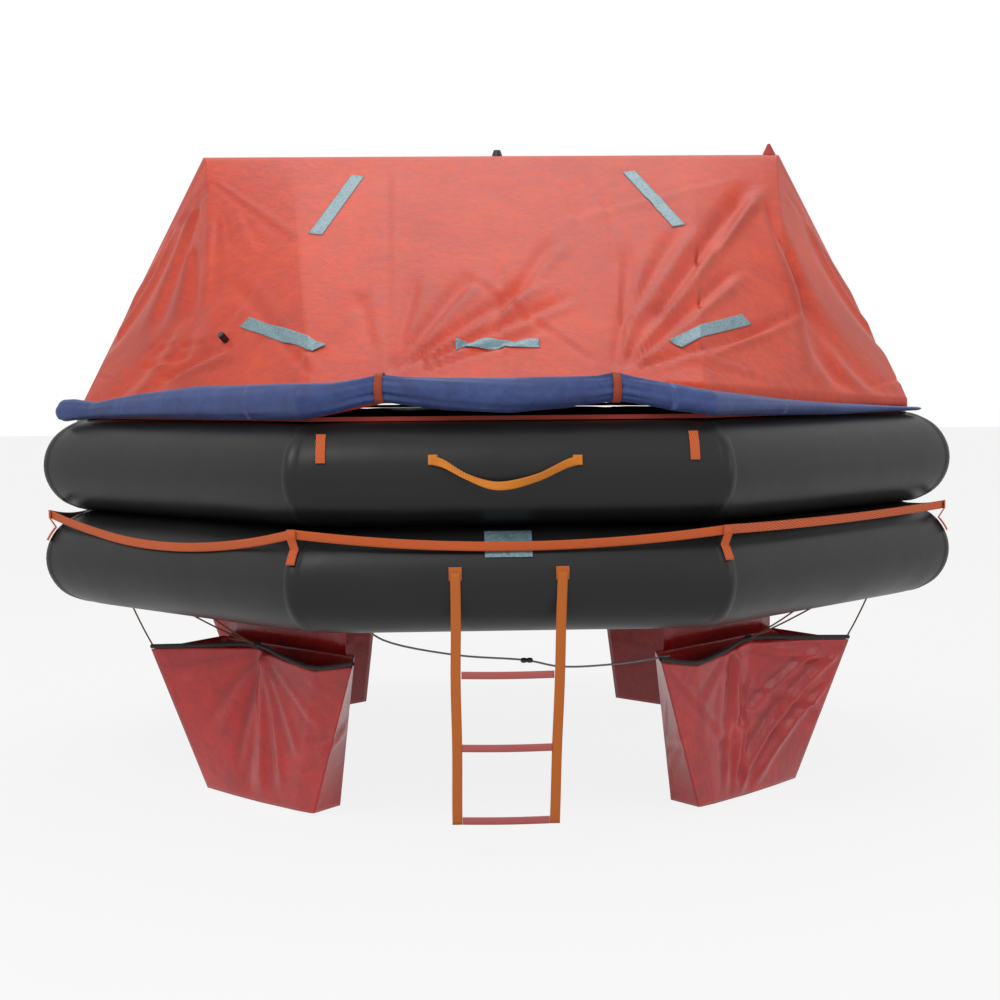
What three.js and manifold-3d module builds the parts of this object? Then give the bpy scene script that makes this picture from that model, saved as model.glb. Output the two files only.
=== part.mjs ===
// Inflated, canopied liferaft: two stacked octagonal buoyancy tubes, a floor, an arch with a
// tent canopy, rolled entrance curtains, ballast bags, a webbing ladder and the gas bottle.
// Millimetres, +Z up. The origin is the middle of the floor's underside, -Y is the front side.
import * as THREE from 'three';
import { mergeVertices } from 'three/addons/utils/BufferGeometryUtils.js';
import Module from 'manifold-3d';

const wasm = await Module();
wasm.setup();

// Driving dimensions: float
const FLOAT_WIDTH = 2950; // across the flats, outside the tubes
const TUBE_R = 150;
const TUBE_FACETS = 24;
const TOUCH = 0.3; // clearance between pieces that touch
const FLOOR_T = 60;
const FLOOR_STEP = 6; // the doubled middle of the floor stands this much lower
const FLOOR_RIM = 365; // the doubled middle of the floor stops this short of the tube's centreline
const FLOOR_SKIRT = 80; // how far the floor's rim stops short of the tube's centreline

// Driving dimensions: arch and canopy
const ARCH_R = 100;
const ARCH_FACETS = 16;
const ARCH_RISE = 799.7; // from the upper tube's top to the ridge's axis
const FOOT_OUT = 44; // the leg's axis meets the upper tube's top this far outside its centreline
const LEG_LEAN = 413; // how far a leg leans in on its way up to the shoulder
const ARCH_SINK = 25; // how far the foot reaches down the tube's shoulder
const CANOPY_T = 4;
const CANOPY_SLACK = 4; // between the arch and the cloth
const CANOPY_FOOT = 40; // the cloth ends this far above the upper tube at the arch's foot
const WELT_W = 16;
const WELT_H = 12;

// Driving dimensions: what hangs on the float
const TIE_W = 22;
const WEB_T = 3;
const TAPE_W = 46;
const TAPE_T = 2;
const LIFELINE_H = 26;
const LIFELINE_T = 4;
const LIFELINE_OUT = 20; // the line's middle runs this far inside the tube's outer side
const INNER_LINE_UP = 32; // over the upper tube's middle, clear of the topping-up valve
const LADDER_STEP = 204;
const LADDER_FIRST = 287; // from the strap's root down to the first rung
const STRAP_W = 28;
const STRAP_T = 5;
const RUNG_H = 20;
const RUNG_T = 8;
const BAG_DEPTH = 612;
const BAG_WALL = 3;
const BAG_CLEAR = 25; // from the floor's doubled middle to the bag's inner panel
const HEM_R = 7;
const HEM_LIFT = 4; // the hem rope bows this much over the mouth's corners
const BAG_TIE_R = 2.5;
const BOTTLE_R = 70;
const BOTTLE_HALF = 300;
const SLING_SLACK = 1;
const HOSE_R = 10;

// Places that follow from the dimensions above
const TUBE_LINE = FLOAT_WIDTH / 2 - TUBE_R; // apothem of the tubes' centreline
const LOWER_Z = TUBE_R;
const UPPER_Z = 3 * TUBE_R + TOUCH;
const UPPER_TOP = UPPER_Z + TUBE_R;
const OUTSIDE = TUBE_LINE + TUBE_R;
const FLOOR_MIDDLE = TUBE_LINE - FLOOR_RIM; // apothem of the doubled middle
const ARCH_AXIS_Z = UPPER_TOP + ARCH_RISE;
const ARCH_FOOT_X = TUBE_LINE + FOOT_OUT;
const SHOULDER_X = ARCH_FOOT_X - LEG_LEAN; // where the arch tube is mitred
const HALF_SIDE = Math.tan(Math.PI / 8);
const TUBE_CORNER_R = 1 / Math.cos(Math.PI / TUBE_FACETS);
const TUBE_SKIN = TUBE_R * TUBE_CORNER_R + TOUCH; // radius clear of the tube's facets
const LEG_ANGLE = Math.atan2(ARCH_AXIS_Z - UPPER_TOP, ARCH_FOOT_X - SHOULDER_X);
const CANOPY_R = ARCH_R + CANOPY_SLACK;
const WELT_IN = TUBE_LINE + 3;
const WELT_TOP = UPPER_TOP + TOUCH + WELT_H;
const CANOPY_EDGE = WELT_IN + WELT_W; // apothem of the canopy's hem, outside
const ROLL_BACK = CANOPY_EDGE + TOUCH;

const raft = new THREE.Group();

function add(name, geometry, color, roughness = 0.7, metalness = 0) {
  const material = new THREE.MeshStandardMaterial({ color, roughness, metalness });
  const mesh = new THREE.Mesh(closed(geometry), material);
  mesh.name = name;
  raft.add(mesh);
}

// Welds a geometry's corners, drops flat triangles and turns its faces outwards.
function closed(geometry) {
  const bare = new THREE.BufferGeometry();
  bare.setAttribute('position', geometry.getAttribute('position').clone());
  if (geometry.index) bare.setIndex(geometry.index.clone());
  const welded = mergeVertices(bare, 1e-3);
  const p = welded.getAttribute('position');
  const kept = [];
  let volume = 0;
  const corner = [0, 1, 2].map(() => new THREE.Vector3());
  for (let i = 0; i < welded.index.count; i += 3) {
    const [a, b, c] = [0, 1, 2].map((k) => welded.index.getX(i + k));
    if (a === b || b === c || c === a) continue;
    kept.push(a, b, c);
    [a, b, c].forEach((v, k) => corner[k].fromBufferAttribute(p, v));
    volume += corner[0].dot(corner[1].clone().cross(corner[2]));
  }
  if (volume < 0) {
    for (let i = 0; i < kept.length; i += 3) [kept[i], kept[i + 1]] = [kept[i + 1], kept[i]];
  }
  welded.setIndex(kept);
  return welded;
}

function toSolid(geometry) {
  const g = closed(geometry);
  return new wasm.Manifold(new wasm.Mesh({
    numProp: 3,
    vertProperties: new Float32Array(g.getAttribute('position').array),
    triVerts: new Uint32Array(g.index.array),
  }));
}

function toGeometry(solid) {
  const mesh = solid.getMesh();
  const g = new THREE.BufferGeometry();
  g.setAttribute('position', new THREE.BufferAttribute(mesh.vertProperties, 3));
  g.setIndex(new THREE.BufferAttribute(mesh.triVerts, 1));
  return g;
}

const mirrored = (geometry, x, y) => closed(closed(geometry).scale(x, y, 1));

// Triangles between rows of points; a row is joined to the next, and to itself if it is a ring.
function band(rows, ring) {
  const faces = [];
  const n = rows[0].length;
  for (let i = 0; i + 1 < rows.length; i++) {
    for (let j = 0; j < (ring ? n : n - 1); j++) {
      const k = (j + 1) % n;
      faces.push(rows[i][j], rows[i + 1][j], rows[i + 1][k], rows[i][j], rows[i + 1][k], rows[i][k]);
    }
  }
  return faces;
}

const fromFaces = (faces) => new THREE.BufferGeometry().setFromPoints(faces);

// Triangles from the middle of a ring to its sides.
function fan(ring) {
  const middle = ring.reduce((sum, p) => sum.add(p), new THREE.Vector3()).divideScalar(ring.length);
  return ring.flatMap((p, j) => [middle, p, ring[(j + 1) % ring.length]]);
}

// A solid through rings of points, with flat ends, or closed on itself if it runs round.
function loft(rings, round = false) {
  if (round) return closed(fromFaces(band([...rings, rings[0]], true)));
  const last = rings[rings.length - 1];
  return closed(fromFaces([...band(rings, true), ...fan(rings[0]), ...fan(last).reverse()]));
}

// A sheet with a thickness: two grids of points, joined round their edges.
function sheet(outer, inner) {
  const edge = [
    ...outer[0].map((p, j) => [p, inner[0][j]]),
    ...outer.slice(1).map((row, i) => [row[row.length - 1], inner[i + 1][row.length - 1]]),
    ...outer[outer.length - 1].map((p, j) => [p, inner[inner.length - 1][j]]).reverse().slice(1),
    ...outer.map((row, i) => [row[0], inner[i][0]]).reverse().slice(1, -1),
  ];
  return closed(fromFaces([
    ...band(outer, false),
    ...band(inner, false).reverse(),
    ...band([...edge, edge[0]], false),
  ]));
}

// A point of an octagon: turn counts half sides from the middle of the front, to the right.
function octPoint(turn, apothem, z) {
  const side = Math.floor((turn + 1) / 2);
  const along = (turn - 2 * side) * apothem * HALF_SIDE;
  const angle = side * Math.PI / 4;
  return new THREE.Vector3(
    Math.sin(angle) * apothem + Math.cos(angle) * along,
    -Math.cos(angle) * apothem + Math.sin(angle) * along,
    z,
  );
}

// An octagonal ring with the profile [apothem, z], closed on itself.
function octRing(profile) {
  const points = [...profile, profile[0]]
    .map(([a, z]) => new THREE.Vector2(a / Math.cos(Math.PI / 8), z));
  return new THREE.LatheGeometry(points, 8, Math.PI / 8).rotateX(Math.PI / 2);
}

const octOutline = (apothem, z) =>
  [1, 3, 5, 7, 9, 11, 13, 15].map((turn) => octPoint(turn, apothem, z));

function tubeProfile(z, radius) {
  const r = radius * TUBE_CORNER_R;
  return Array.from({ length: TUBE_FACETS }, (_, i) => {
    const angle = (i + 0.5) * 2 * Math.PI / TUBE_FACETS;
    return [TUBE_LINE + r * Math.cos(angle), z + r * Math.sin(angle)];
  });
}

const lowerGrown = toSolid(octRing(tubeProfile(LOWER_Z, TUBE_R + TOUCH)));
const upperGrown = toSolid(octRing(tubeProfile(UPPER_Z, TUBE_R + TOUCH)));

function box(x0, x1, y0, y1, z0, z1) {
  return new THREE.BoxGeometry(x1 - x0, y1 - y0, z1 - z0)
    .translate((x0 + x1) / 2, (y0 + y1) / 2, (z0 + z1) / 2);
}

// A round cord or hose through the given points.
function cord(points, radius, steps) {
  const section = new THREE.Shape().absarc(0, 0, radius, 0, 2 * Math.PI);
  const extrudePath = new THREE.CatmullRomCurve3(points, false, 'centripetal');
  return new THREE.ExtrudeGeometry(section, { steps, curveSegments: 4, bevelEnabled: false, extrudePath });
}

// A flat webbing strap through the given points; out gives the way its face looks.
function strap(points, width, thickness, out) {
  const rings = points.map((p, i) => {
    const before = points[Math.max(i - 1, 0)];
    const after = points[Math.min(i + 1, points.length - 1)];
    const along = after.clone().sub(before).normalize();
    const across = out.clone().cross(along).normalize().multiplyScalar(width / 2);
    const face = along.clone().cross(across).normalize().multiplyScalar(thickness / 2);
    return [[1, 1], [-1, 1], [-1, -1], [1, -1]].map(([u, v]) =>
      p.clone().addScaledVector(across, u).addScaledVector(face, v));
  });
  return loft(rings);
}

const V = (x, y, z) => new THREE.Vector3(x, y, z);

// Straight lines through stations [place, value].
function between(stations, place) {
  const next = stations.findIndex(([at]) => at >= place);
  if (next < 0) return stations[stations.length - 1][1];
  if (next === 0) return stations[0][1];
  const [[p0, v0], [p1, v1]] = [stations[next - 1], stations[next]];
  return THREE.MathUtils.mapLinear(place, p0, p1, v0, v1);
}

// Float: tubes and floor
function buildFloat() {
  const black = '#1b1b1b';
  add('lower_tube', octRing(tubeProfile(LOWER_Z, TUBE_R)), black, 0.45);
  add('upper_tube', octRing(tubeProfile(UPPER_Z, TUBE_R)), black, 0.45);
  const rim = TUBE_LINE - FLOOR_SKIRT;
  const plate = loft([
    octOutline(FLOOR_MIDDLE, 0),
    octOutline(FLOOR_MIDDLE + FLOOR_STEP, FLOOR_STEP),
    octOutline(rim, FLOOR_STEP),
    octOutline(rim, FLOOR_T),
  ]);
  add('floor', toGeometry(toSolid(plate).subtract(lowerGrown)), '#20201f', 0.6);
}

// Arch: place counts 0 at the ridge's middle, 1 at the shoulder and 2 at the foot.
const legX = (z) => SHOULDER_X + (ARCH_AXIS_Z - z) / Math.tan(LEG_ANGLE);

function archFrame(place, footZ) {
  const nodes = [
    { x: 0, z: ARCH_AXIS_Z, outX: 0, outZ: 1 },
    { x: SHOULDER_X, z: ARCH_AXIS_Z, outX: Math.tan(LEG_ANGLE / 2), outZ: 1 },
    { x: legX(footZ), z: footZ, outX: 1 / Math.sin(LEG_ANGLE), outZ: 0 },
  ];
  const i = Math.min(Math.floor(Math.abs(place)), 1);
  const part = Math.abs(place) - i;
  const sign = Math.sign(place) || 1;
  const mix = (key) => THREE.MathUtils.lerp(nodes[i][key], nodes[i + 1][key], part);
  return { at: V(sign * mix('x'), 0, mix('z')), out: V(sign * mix('outX'), 0, mix('outZ')) };
}

function archPoint(frame, radius, angle) {
  return frame.at.clone()
    .addScaledVector(frame.out, radius * Math.cos(angle))
    .add(V(0, -radius * Math.sin(angle), 0));
}

function buildArch() {
  const rings = [-2, -1, 1, 2].map((place) => {
    const frame = archFrame(place, UPPER_TOP - ARCH_SINK);
    return Array.from({ length: ARCH_FACETS }, (_, i) =>
      archPoint(frame, ARCH_R, (i + 0.5) * 2 * Math.PI / ARCH_FACETS));
  });
  add('arch_tube', toGeometry(toSolid(loft(rings)).subtract(upperGrown)), '#26262a', 0.5);
}

// Canopy: straight rulings from the octagonal hem to the arch, front and rear alike.
const FOOT_TURN = 3.766; // where the hem stops beside the arch's foot
const HEM_STATIONS = [
  0, 0.3, 0.63, 0.85, 1, 1.27, 1.53, 1.8, 2.1, 2.4, 2.7, 3, 3.15, 3.3, 3.45, 3.6, 3.7, FOOT_TURN,
];
const ARCH_PLACE = [[0, 0], [0.63, 0.366], [1, 0.7], [1.8, 1], [3, 1.45], [FOOT_TURN, 2]];
const HEM_TOP = [[0, 87], [0.63, 87], [1, 79], [3, 27], [FOOT_TURN, 27]]; // over the welt
const HEM_LOW = [[0, 37], [0.63, 37], [0.95, 0], [FOOT_TURN, 0]];
const RULING_STEPS = 5;
const WRAP_STEPS = 4;

// Half a section, from the hem to the crest; offset is measured out from the cloth's inside.
function canopyHalf(turn, offset) {
  const side = Math.abs(turn);
  const apothem = CANOPY_EDGE - CANOPY_T + offset;
  const radius = CANOPY_R + offset;
  const frame = archFrame(Math.sign(turn) * between(ARCH_PLACE, side), UPPER_TOP + CANOPY_FOOT);
  const low = octPoint(turn, apothem, WELT_TOP + TOUCH + between(HEM_LOW, side));
  const hem = octPoint(turn, apothem, WELT_TOP + TOUCH + between(HEM_TOP, side));
  const reach = hem.clone().sub(frame.at);
  const rise = reach.dot(frame.out.clone().normalize());
  const forward = -reach.y;
  const wrap = Math.atan2(forward, rise) - Math.acos(radius / Math.hypot(rise, forward));
  const touch = archPoint(frame, radius, wrap);
  const points = [low];
  for (let i = 0; i < RULING_STEPS; i++) points.push(hem.clone().lerp(touch, i / RULING_STEPS));
  for (let i = 0; i <= WRAP_STEPS; i++) {
    points.push(archPoint(frame, radius, wrap * (1 - i / WRAP_STEPS)));
  }
  return points;
}

function canopyGrid(offset) {
  const turns = [...HEM_STATIONS.slice(1).map((t) => -t).reverse(), ...HEM_STATIONS];
  return turns.map((turn) => {
    const front = canopyHalf(turn, offset);
    const rear = front.slice(0, -1).reverse().map((p) => V(p.x, -p.y, p.z));
    return [...front, ...rear];
  });
}

// A point of the front ruling at a hem place, from 0 at the hem to 1 at the arch.
function onCanopy(turn, up, offset = CANOPY_T) {
  const points = canopyHalf(turn, offset);
  return points[1].clone().lerp(points[1 + RULING_STEPS], up);
}

function canopyNormal(turn, up) {
  const across = onCanopy(turn + 0.05, up).sub(onCanopy(turn - 0.05, up));
  const upward = onCanopy(turn, up + 0.05).sub(onCanopy(turn, up - 0.05));
  return across.cross(upward).normalize();
}

function buildCanopy() {
  add('canopy', sheet(canopyGrid(CANOPY_T), canopyGrid(0)), '#d4472a', 0.55);
  [['front', 1], ['rear', -1]].forEach(([end, y]) => {
    const rings = [-3.6, -3, -1, 1, 3, 3.6].map((turn) => [
      octPoint(turn, WELT_IN, UPPER_TOP + TOUCH), octPoint(turn, WELT_IN + WELT_W, UPPER_TOP + TOUCH),
      octPoint(turn, WELT_IN + WELT_W, WELT_TOP), octPoint(turn, WELT_IN, WELT_TOP),
    ]);
    add(`canopy_welt_${end}`, mirrored(loft(rings), 1, y), '#c63a2a', 0.6);
  });
}

// Reflective tapes: each lies between two places [turn, up] of the front rulings.
const TAPES = {
  upper_left: [[-0.925, 0.62], [-0.745, 0.91]],
  upper_right: [[0.745, 0.925], [0.927, 0.65]],
  lower_left: [[-1.49, 0.268], [-0.93, 0.139]],
  lower_middle: [[-0.257, 0.146], [0.178, 0.146]],
  lower_right: [[0.86, 0.143], [1.4, 0.26]],
};

function buildTapes() {
  const skin = toSolid(sheet(canopyGrid(CANOPY_T + TOUCH + TAPE_T), canopyGrid(CANOPY_T + TOUCH)));
  Object.entries(TAPES).forEach(([name, [from, to]]) => {
    const start = onCanopy(...from);
    const end = onCanopy(...to);
    const along = end.clone().sub(start);
    const normal = canopyNormal((from[0] + to[0]) / 2, (from[1] + to[1]) / 2);
    const basis = new THREE.Matrix4().makeBasis(
      along.clone().normalize(),
      normal.clone().cross(along).normalize(),
      normal,
    ).setPosition(start.clone().add(end).divideScalar(2));
    const cutter = new THREE.BoxGeometry(along.length(), TAPE_W, 120).applyMatrix4(basis);
    add(`tape_${name}`, toGeometry(skin.intersect(toSolid(cutter))), '#88a6b0', 0.3, 0.2);
  });
}

// Curtain rolls: [turn, bottom, top, half depth, set out from the hem], heights over the tube
const ROLL = [
  [-3, -12, 64, 28, 34], [-2.93, -8, 66, 30, 26], [-2.75, 0, 56, 30, 12], [-2.3, 2, 84, 34, 5],
  [-1.83, 2, 106, 36, 2], [-1.4, 2, 112, 36, 0], [-1, 6, 115, 36, 0], [-0.85, 22, 116, 33, 0],
  [-0.72, 44, 126, 26, 3.2], [-0.655, 54, 136, 20, 3.2], [-0.63, 54, 136, 20, 3.2],
  [-0.605, 54, 136, 20, 3.2], [-0.54, 46, 130, 26, 3.2],
  [-0.3, 26, 126, 34, 0], [0, 16, 122, 36, 0], [0.25, 26, 122, 34, 0],
  [0.44, 42, 122, 26, 3.2], [0.505, 50, 130, 20, 3.2], [0.53, 50, 130, 20, 3.2],
  [0.555, 50, 130, 20, 3.2], [0.62, 42, 118, 26, 3.2],
  [0.8, 18, 100, 32, 0], [1, 4, 78, 32, 0], [1.6, 0, 52, 30, 0], [2.2, -2, 34, 26, 2],
  [2.81, 1, 18, 22, 6], [3, 1, 14, 18, 8],
];
const TIE_TURNS = { left: -0.63, right: 0.53 };

function rollFrame([turn, bottom, top, half, setOut]) {
  return {
    turn,
    half,
    rise: (top - bottom) / 2,
    z: UPPER_TOP + (top + bottom) / 2,
    a: ROLL_BACK + setOut + half,
  };
}

function rollRing(frame, grow, turn = frame.turn) {
  return Array.from({ length: 12 }, (_, i) => {
    const angle = i * Math.PI / 6;
    return octPoint(turn, frame.a + (frame.half + grow) * Math.cos(angle),
      frame.z + (frame.rise + grow) * Math.sin(angle));
  });
}

function buildRolls() {
  const roll = loft(ROLL.map((station) => rollRing(rollFrame(station), 0)));
  const ties = Object.values(TIE_TURNS).map((turn) => {
    const frame = rollFrame(ROLL.find((station) => station[0] === turn));
    const half = TIE_W / 2 / (CANOPY_EDGE * HALF_SIDE);
    const rings = [[WEB_T, -half], [WEB_T, half], [1, half], [1, -half]]
      .map(([grow, shift]) => rollRing(frame, grow, turn + shift));
    return loft(rings, true);
  });
  [['front', 1], ['rear', -1]].forEach(([end, y]) => {
    add(`curtain_roll_${end}`, mirrored(roll, 1, y), '#3f4c80', 0.75);
    Object.keys(TIE_TURNS).forEach((side, i) => {
      add(`curtain_tie_${end}_${side}`, mirrored(ties[i], 1, y), '#c8502a', 0.7);
    });
  });
}

// Patches on the tubes: a curved one from the tube's skin, or a pad with a flat face.
function arcPatch(tubeZ, from, to, x0, x1, thickness) {
  const inner = TUBE_SKIN;
  const angles = Array.from({ length: 7 }, (_, i) => THREE.MathUtils.lerp(from, to, i / 6));
  const arc = (r) => angles.map((a) => [TUBE_LINE + r * Math.cos(a), tubeZ + r * Math.sin(a)]);
  const profile = [...arc(inner + thickness), ...arc(inner).reverse()];
  return toSolid(octRing(profile)).intersect(toSolid(box(x0, x1, -FLOAT_WIDTH, 0, 0, 2 * UPPER_TOP)));
}

function pad(x0, x1, z0, z1, face, tube) {
  return toSolid(box(x0, x1, -face, -face + 40, z0, z1)).subtract(tube);
}

// Lifelines: the outer one hangs from loops at the corners, the inner one runs inside the cabin.
const LINE_A = OUTSIDE - LIFELINE_OUT;
const LINE_Z = 2 * TUBE_R - 6;
const LINE_SAG = [40, 8, 40, 40, 40, 40, 40, 66]; // from the front side round to the right

function lifeline() {
  const rings = [];
  LINE_SAG.forEach((sag, side) => {
    [-1, -0.6, -0.2, 0.2, 0.6].forEach((part) => {
      const z = LINE_Z - sag * (1 - part * part);
      const skin = TUBE_LINE + Math.sqrt(TUBE_SKIN ** 2 - (z - LIFELINE_H / 2 - LOWER_Z) ** 2);
      const a = Math.max(LINE_A, skin + LIFELINE_T / 2);
      rings.push([[-1, -1], [1, -1], [1, 1], [-1, 1]].map(([u, v]) =>
        octPoint(2 * side + part, a + u * LIFELINE_T / 2, z + v * LIFELINE_H / 2)));
    });
  });
  return toSolid(loft(rings, true));
}

function lifelineLoop(turn) {
  const r = TUBE_SKIN + 0.6 + WEB_T / 2;
  const onTube = [0.42, 0.56, 0.7].map((angle) =>
    octPoint(turn, TUBE_LINE + r * Math.cos(angle), LOWER_Z + r * Math.sin(angle)));
  const line = [-0.2, 0.6].map((part) => octPoint(turn, LINE_A, LINE_Z + part * LIFELINE_H / 2));
  const out = octPoint(turn, 1, 0);
  return toSolid(strap([...onTube, ...line], LIFELINE_H, WEB_T, out));
}

function buildLifelines() {
  let line = lifeline();
  for (let turn = 1; turn < 16; turn += 2) line = line.add(lifelineLoop(turn));
  add('outer_lifeline', toGeometry(line), '#f0642a', 0.65);
  const inside = TUBE_LINE - Math.sqrt((TUBE_R + 2 * TOUCH) ** 2 - INNER_LINE_UP ** 2);
  const low = UPPER_Z + INNER_LINE_UP;
  add('inner_lifeline', octRing([
    [inside - WEB_T, low], [inside, low],
    [inside, low + LIFELINE_H], [inside - WEB_T, low + LIFELINE_H],
  ]), '#f0642a', 0.65);
}

// Grab handle: a webbing bow between two sewn ends on the upper tube.
const HANDLE_POINTS = [
  [-212, 0, 44], [-186, 0, 36], [-120, 20, 0], [-37, 28, -26], [70, 20, -6], [158, 0, 32], [186, 0, 40],
]; // x, stand-off from the ends' plane, height over the tube's middle
const HANDLE_W = 24;

function buildHandle() {
  const face = OUTSIDE + WEB_T;
  const points = HANDLE_POINTS.map(([x, off, z]) => V(x, -face - off, UPPER_Z + z));
  const bow = toSolid(strap(points, HANDLE_W, WEB_T + 1, V(0, -1, 0)));
  const ends = [points[0], points[points.length - 1]].map((p) =>
    pad(p.x - 12, p.x + 12, p.z - HANDLE_W / 2, p.z + HANDLE_W / 2, face, upperGrown));
  add('grab_handle', toGeometry(bow.add(ends[0]).add(ends[1])), '#f59a1e', 0.6);
}

function buildPatches() {
  [['left', -520], ['right', 511]].forEach(([side, x]) => {
    add(`tie_tab_${side}`, toGeometry(arcPatch(UPPER_Z, 0.26, 0.86, x - 13, x + 13, WEB_T)), '#f07828');
  });
  add('tape_tube', toGeometry(arcPatch(LOWER_Z, 0.51, 1.17, -71, 61, 1)), '#88a6b0', 0.3, 0.2);
}

// Boarding ladder: two straps that hang from anchors on the lower tube, and three rungs.
const LADDER_ROOT_Z = 187; // the line that the straps swing about
const STRAP_DROP = 2; // the straps start this far under that line
const LADDER_TOP_X = [-154, 143];
const LADDER_LOW_X = [-155, 116];
const LADDER_FACE = OUTSIDE + WEB_T;
const LADDER_BACK = LADDER_FACE + TOUCH;

const LADDER_LAST_Z = LADDER_ROOT_Z - LADDER_FIRST - 2 * LADDER_STEP;

function ladderX(side, z) {
  return THREE.MathUtils.mapLinear(z, LADDER_ROOT_Z, LADDER_LAST_Z, LADDER_TOP_X[side], LADDER_LOW_X[side]);
}

function buildLadder() {
  const y = -LADDER_BACK - STRAP_T / 2;
  ['left', 'right'].forEach((side, i) => {
    const low = LADDER_LAST_Z - RUNG_H / 2;
    const top = LADDER_ROOT_Z - STRAP_DROP;
    const points = [V(ladderX(i, top), y, top), V(ladderX(i, low), y, low)];
    add(`ladder_strap_${side}`, strap(points, STRAP_W, STRAP_T, V(0, -1, 0)), '#ea7c24', 0.7);
    const anchor = pad(points[0].x - 18, points[0].x + 18, LADDER_ROOT_Z - 24, LADDER_ROOT_Z + 12,
      LADDER_FACE, lowerGrown);
    add(`ladder_anchor_${side}`, toGeometry(anchor), '#e07020', 0.7);
  });
  [0, 1, 2].forEach((step) => {
    const z = LADDER_ROOT_Z - LADDER_FIRST - step * LADDER_STEP;
    const ends = [0, 1].map((i) => ladderX(i, z) + (0.5 - i) * (STRAP_W + 4 * TOUCH));
    const rung = box(ends[0], ends[1], y - RUNG_T / 2, y + RUNG_T / 2, z - RUNG_H / 2, z + RUNG_H / 2);
    add(`ladder_rung_${step + 1}`, rung, '#d2503a', 0.6);
  });
}

// Ballast bags: [how far inside the tubes' centreline, along, height]; along runs to the side's end.
const BAG_IN = FLOOR_RIM - BAG_CLEAR;
const BAG_MOUTH = [
  [75, 360, -146], [143, 175, -132], [213, -8, -122], [203, -160, -146], [201, -300, -162],
  [219, -455, -134], [BAG_IN, -330, -128], [BAG_IN, 0, -128], [BAG_IN, 320, -128],
];
const BAG_FLOOR = [
  [219, 268, 0], [221, 130, -4], [224, -5, -6], [223, -90, -4], [221, -180, -2],
  [225, -258, 0], [BAG_IN, -252, 4], [BAG_IN, 0, 4], [BAG_IN, 262, 4],
];
const BAG_PANEL_HALF = 290; // half the width of the panel that carries the bag from the floor
const PANEL_PROUD = 0.5; // the panel laps over both faces of the bag's inner wall

function bagPoint(inside, along, z) {
  const apothem = TUBE_LINE - inside;
  return V((apothem + along) * Math.SQRT1_2, (along - apothem) * Math.SQRT1_2, z);
}

// Moves each corner of an outline inwards by a wall's thickness.
function inset(outline, wall) {
  const n = outline.length;
  const normal = (i) => {
    const [a0, s0] = outline[i];
    const [a1, s1] = outline[(i + 1) % n];
    const length = Math.hypot(a1 - a0, s1 - s0);
    return [(s0 - s1) / length, (a1 - a0) / length];
  };
  return outline.map(([a, s, z], i) => {
    const [n0, n1] = [normal((i + n - 1) % n), normal(i)];
    const scale = wall / (1 + n0[0] * n1[0] + n0[1] * n1[1]);
    return [a + (n0[0] + n1[0]) * scale, s + (n0[1] + n1[1]) * scale, z];
  });
}

function bagShell() {
  const rows = [0, 0.35, 0.7, 1];
  const outline = (up) => BAG_MOUTH.map(([a, s, z], i) => {
    const [a0, s0, z0] = BAG_FLOOR[i];
    const mix = (low, high) => THREE.MathUtils.lerp(low, high, up);
    return [mix(a0, a), mix(s0, s), mix(z0 - BAG_DEPTH, z)];
  });
  const outlines = rows.map(outline);
  const outside = outlines.map((row) => row.map((p) => bagPoint(...p)));
  const inside = outlines.map((row) => inset(row, BAG_WALL).map((p) => bagPoint(...p)));
  inside[0].forEach((p) => { p.z += BAG_WALL; });
  const rim = [outside, inside].map((grid) => grid[grid.length - 1]);
  const shell = toSolid(fromFaces([
    ...band(outside, true), ...fan(outside[0]), ...band(rim, true),
    ...band(inside, true).reverse(), ...fan(inside[0]).reverse(),
  ]));
  const panel = [-BAG_DEPTH / 4, FLOOR_STEP - TOUCH].map((z) => [
    [BAG_IN + PANEL_PROUD, -BAG_PANEL_HALF], [BAG_IN + PANEL_PROUD, BAG_PANEL_HALF],
    [BAG_IN - BAG_WALL - PANEL_PROUD, BAG_PANEL_HALF], [BAG_IN - BAG_WALL - PANEL_PROUD, -BAG_PANEL_HALF],
  ].map(([a, s]) => bagPoint(a, s, z)));
  return toGeometry(shell.add(toSolid(loft(panel))));
}

// The weighted hem lies on the mouth's outer edge and hangs from three thin ties.
function bagHem() {
  const over = HEM_R + HEM_LIFT;
  const edge = BAG_MOUTH.slice(0, 6).map(([a, s, z]) => bagPoint(a + BAG_WALL / 2, s, z + over));
  const hem = toSolid(cord(edge, HEM_R, 20));
  const knot = edge[2];
  const feet = [-50, 50].map((s) => bagPoint(15, s, -BAG_TIE_R - TOUCH));
  const corner = bagPoint(5, BAG_MOUTH[0][1] - 8, -BAG_TIE_R - TOUCH);
  const hook = edge[0].clone().lerp(edge[1], 0.04);
  return toGeometry([[feet[0], knot], [feet[1], knot], [corner, hook]]
    .reduce((solid, ends) => solid.add(toSolid(cord(ends, BAG_TIE_R, 2))), hem));
}

function buildBags() {
  const [shell, hem] = [bagShell(), bagHem()];
  [['front_right', 1, 1], ['front_left', -1, 1], ['rear_right', 1, -1], ['rear_left', -1, -1]]
    .forEach(([name, x, y]) => {
      add(`ballast_bag_${name}`, mirrored(shell, x, y), '#c8302a', 0.45);
      add(`bag_hem_${name}`, mirrored(hem, x, y), '#241c1a', 0.8);
    });
}

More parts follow.
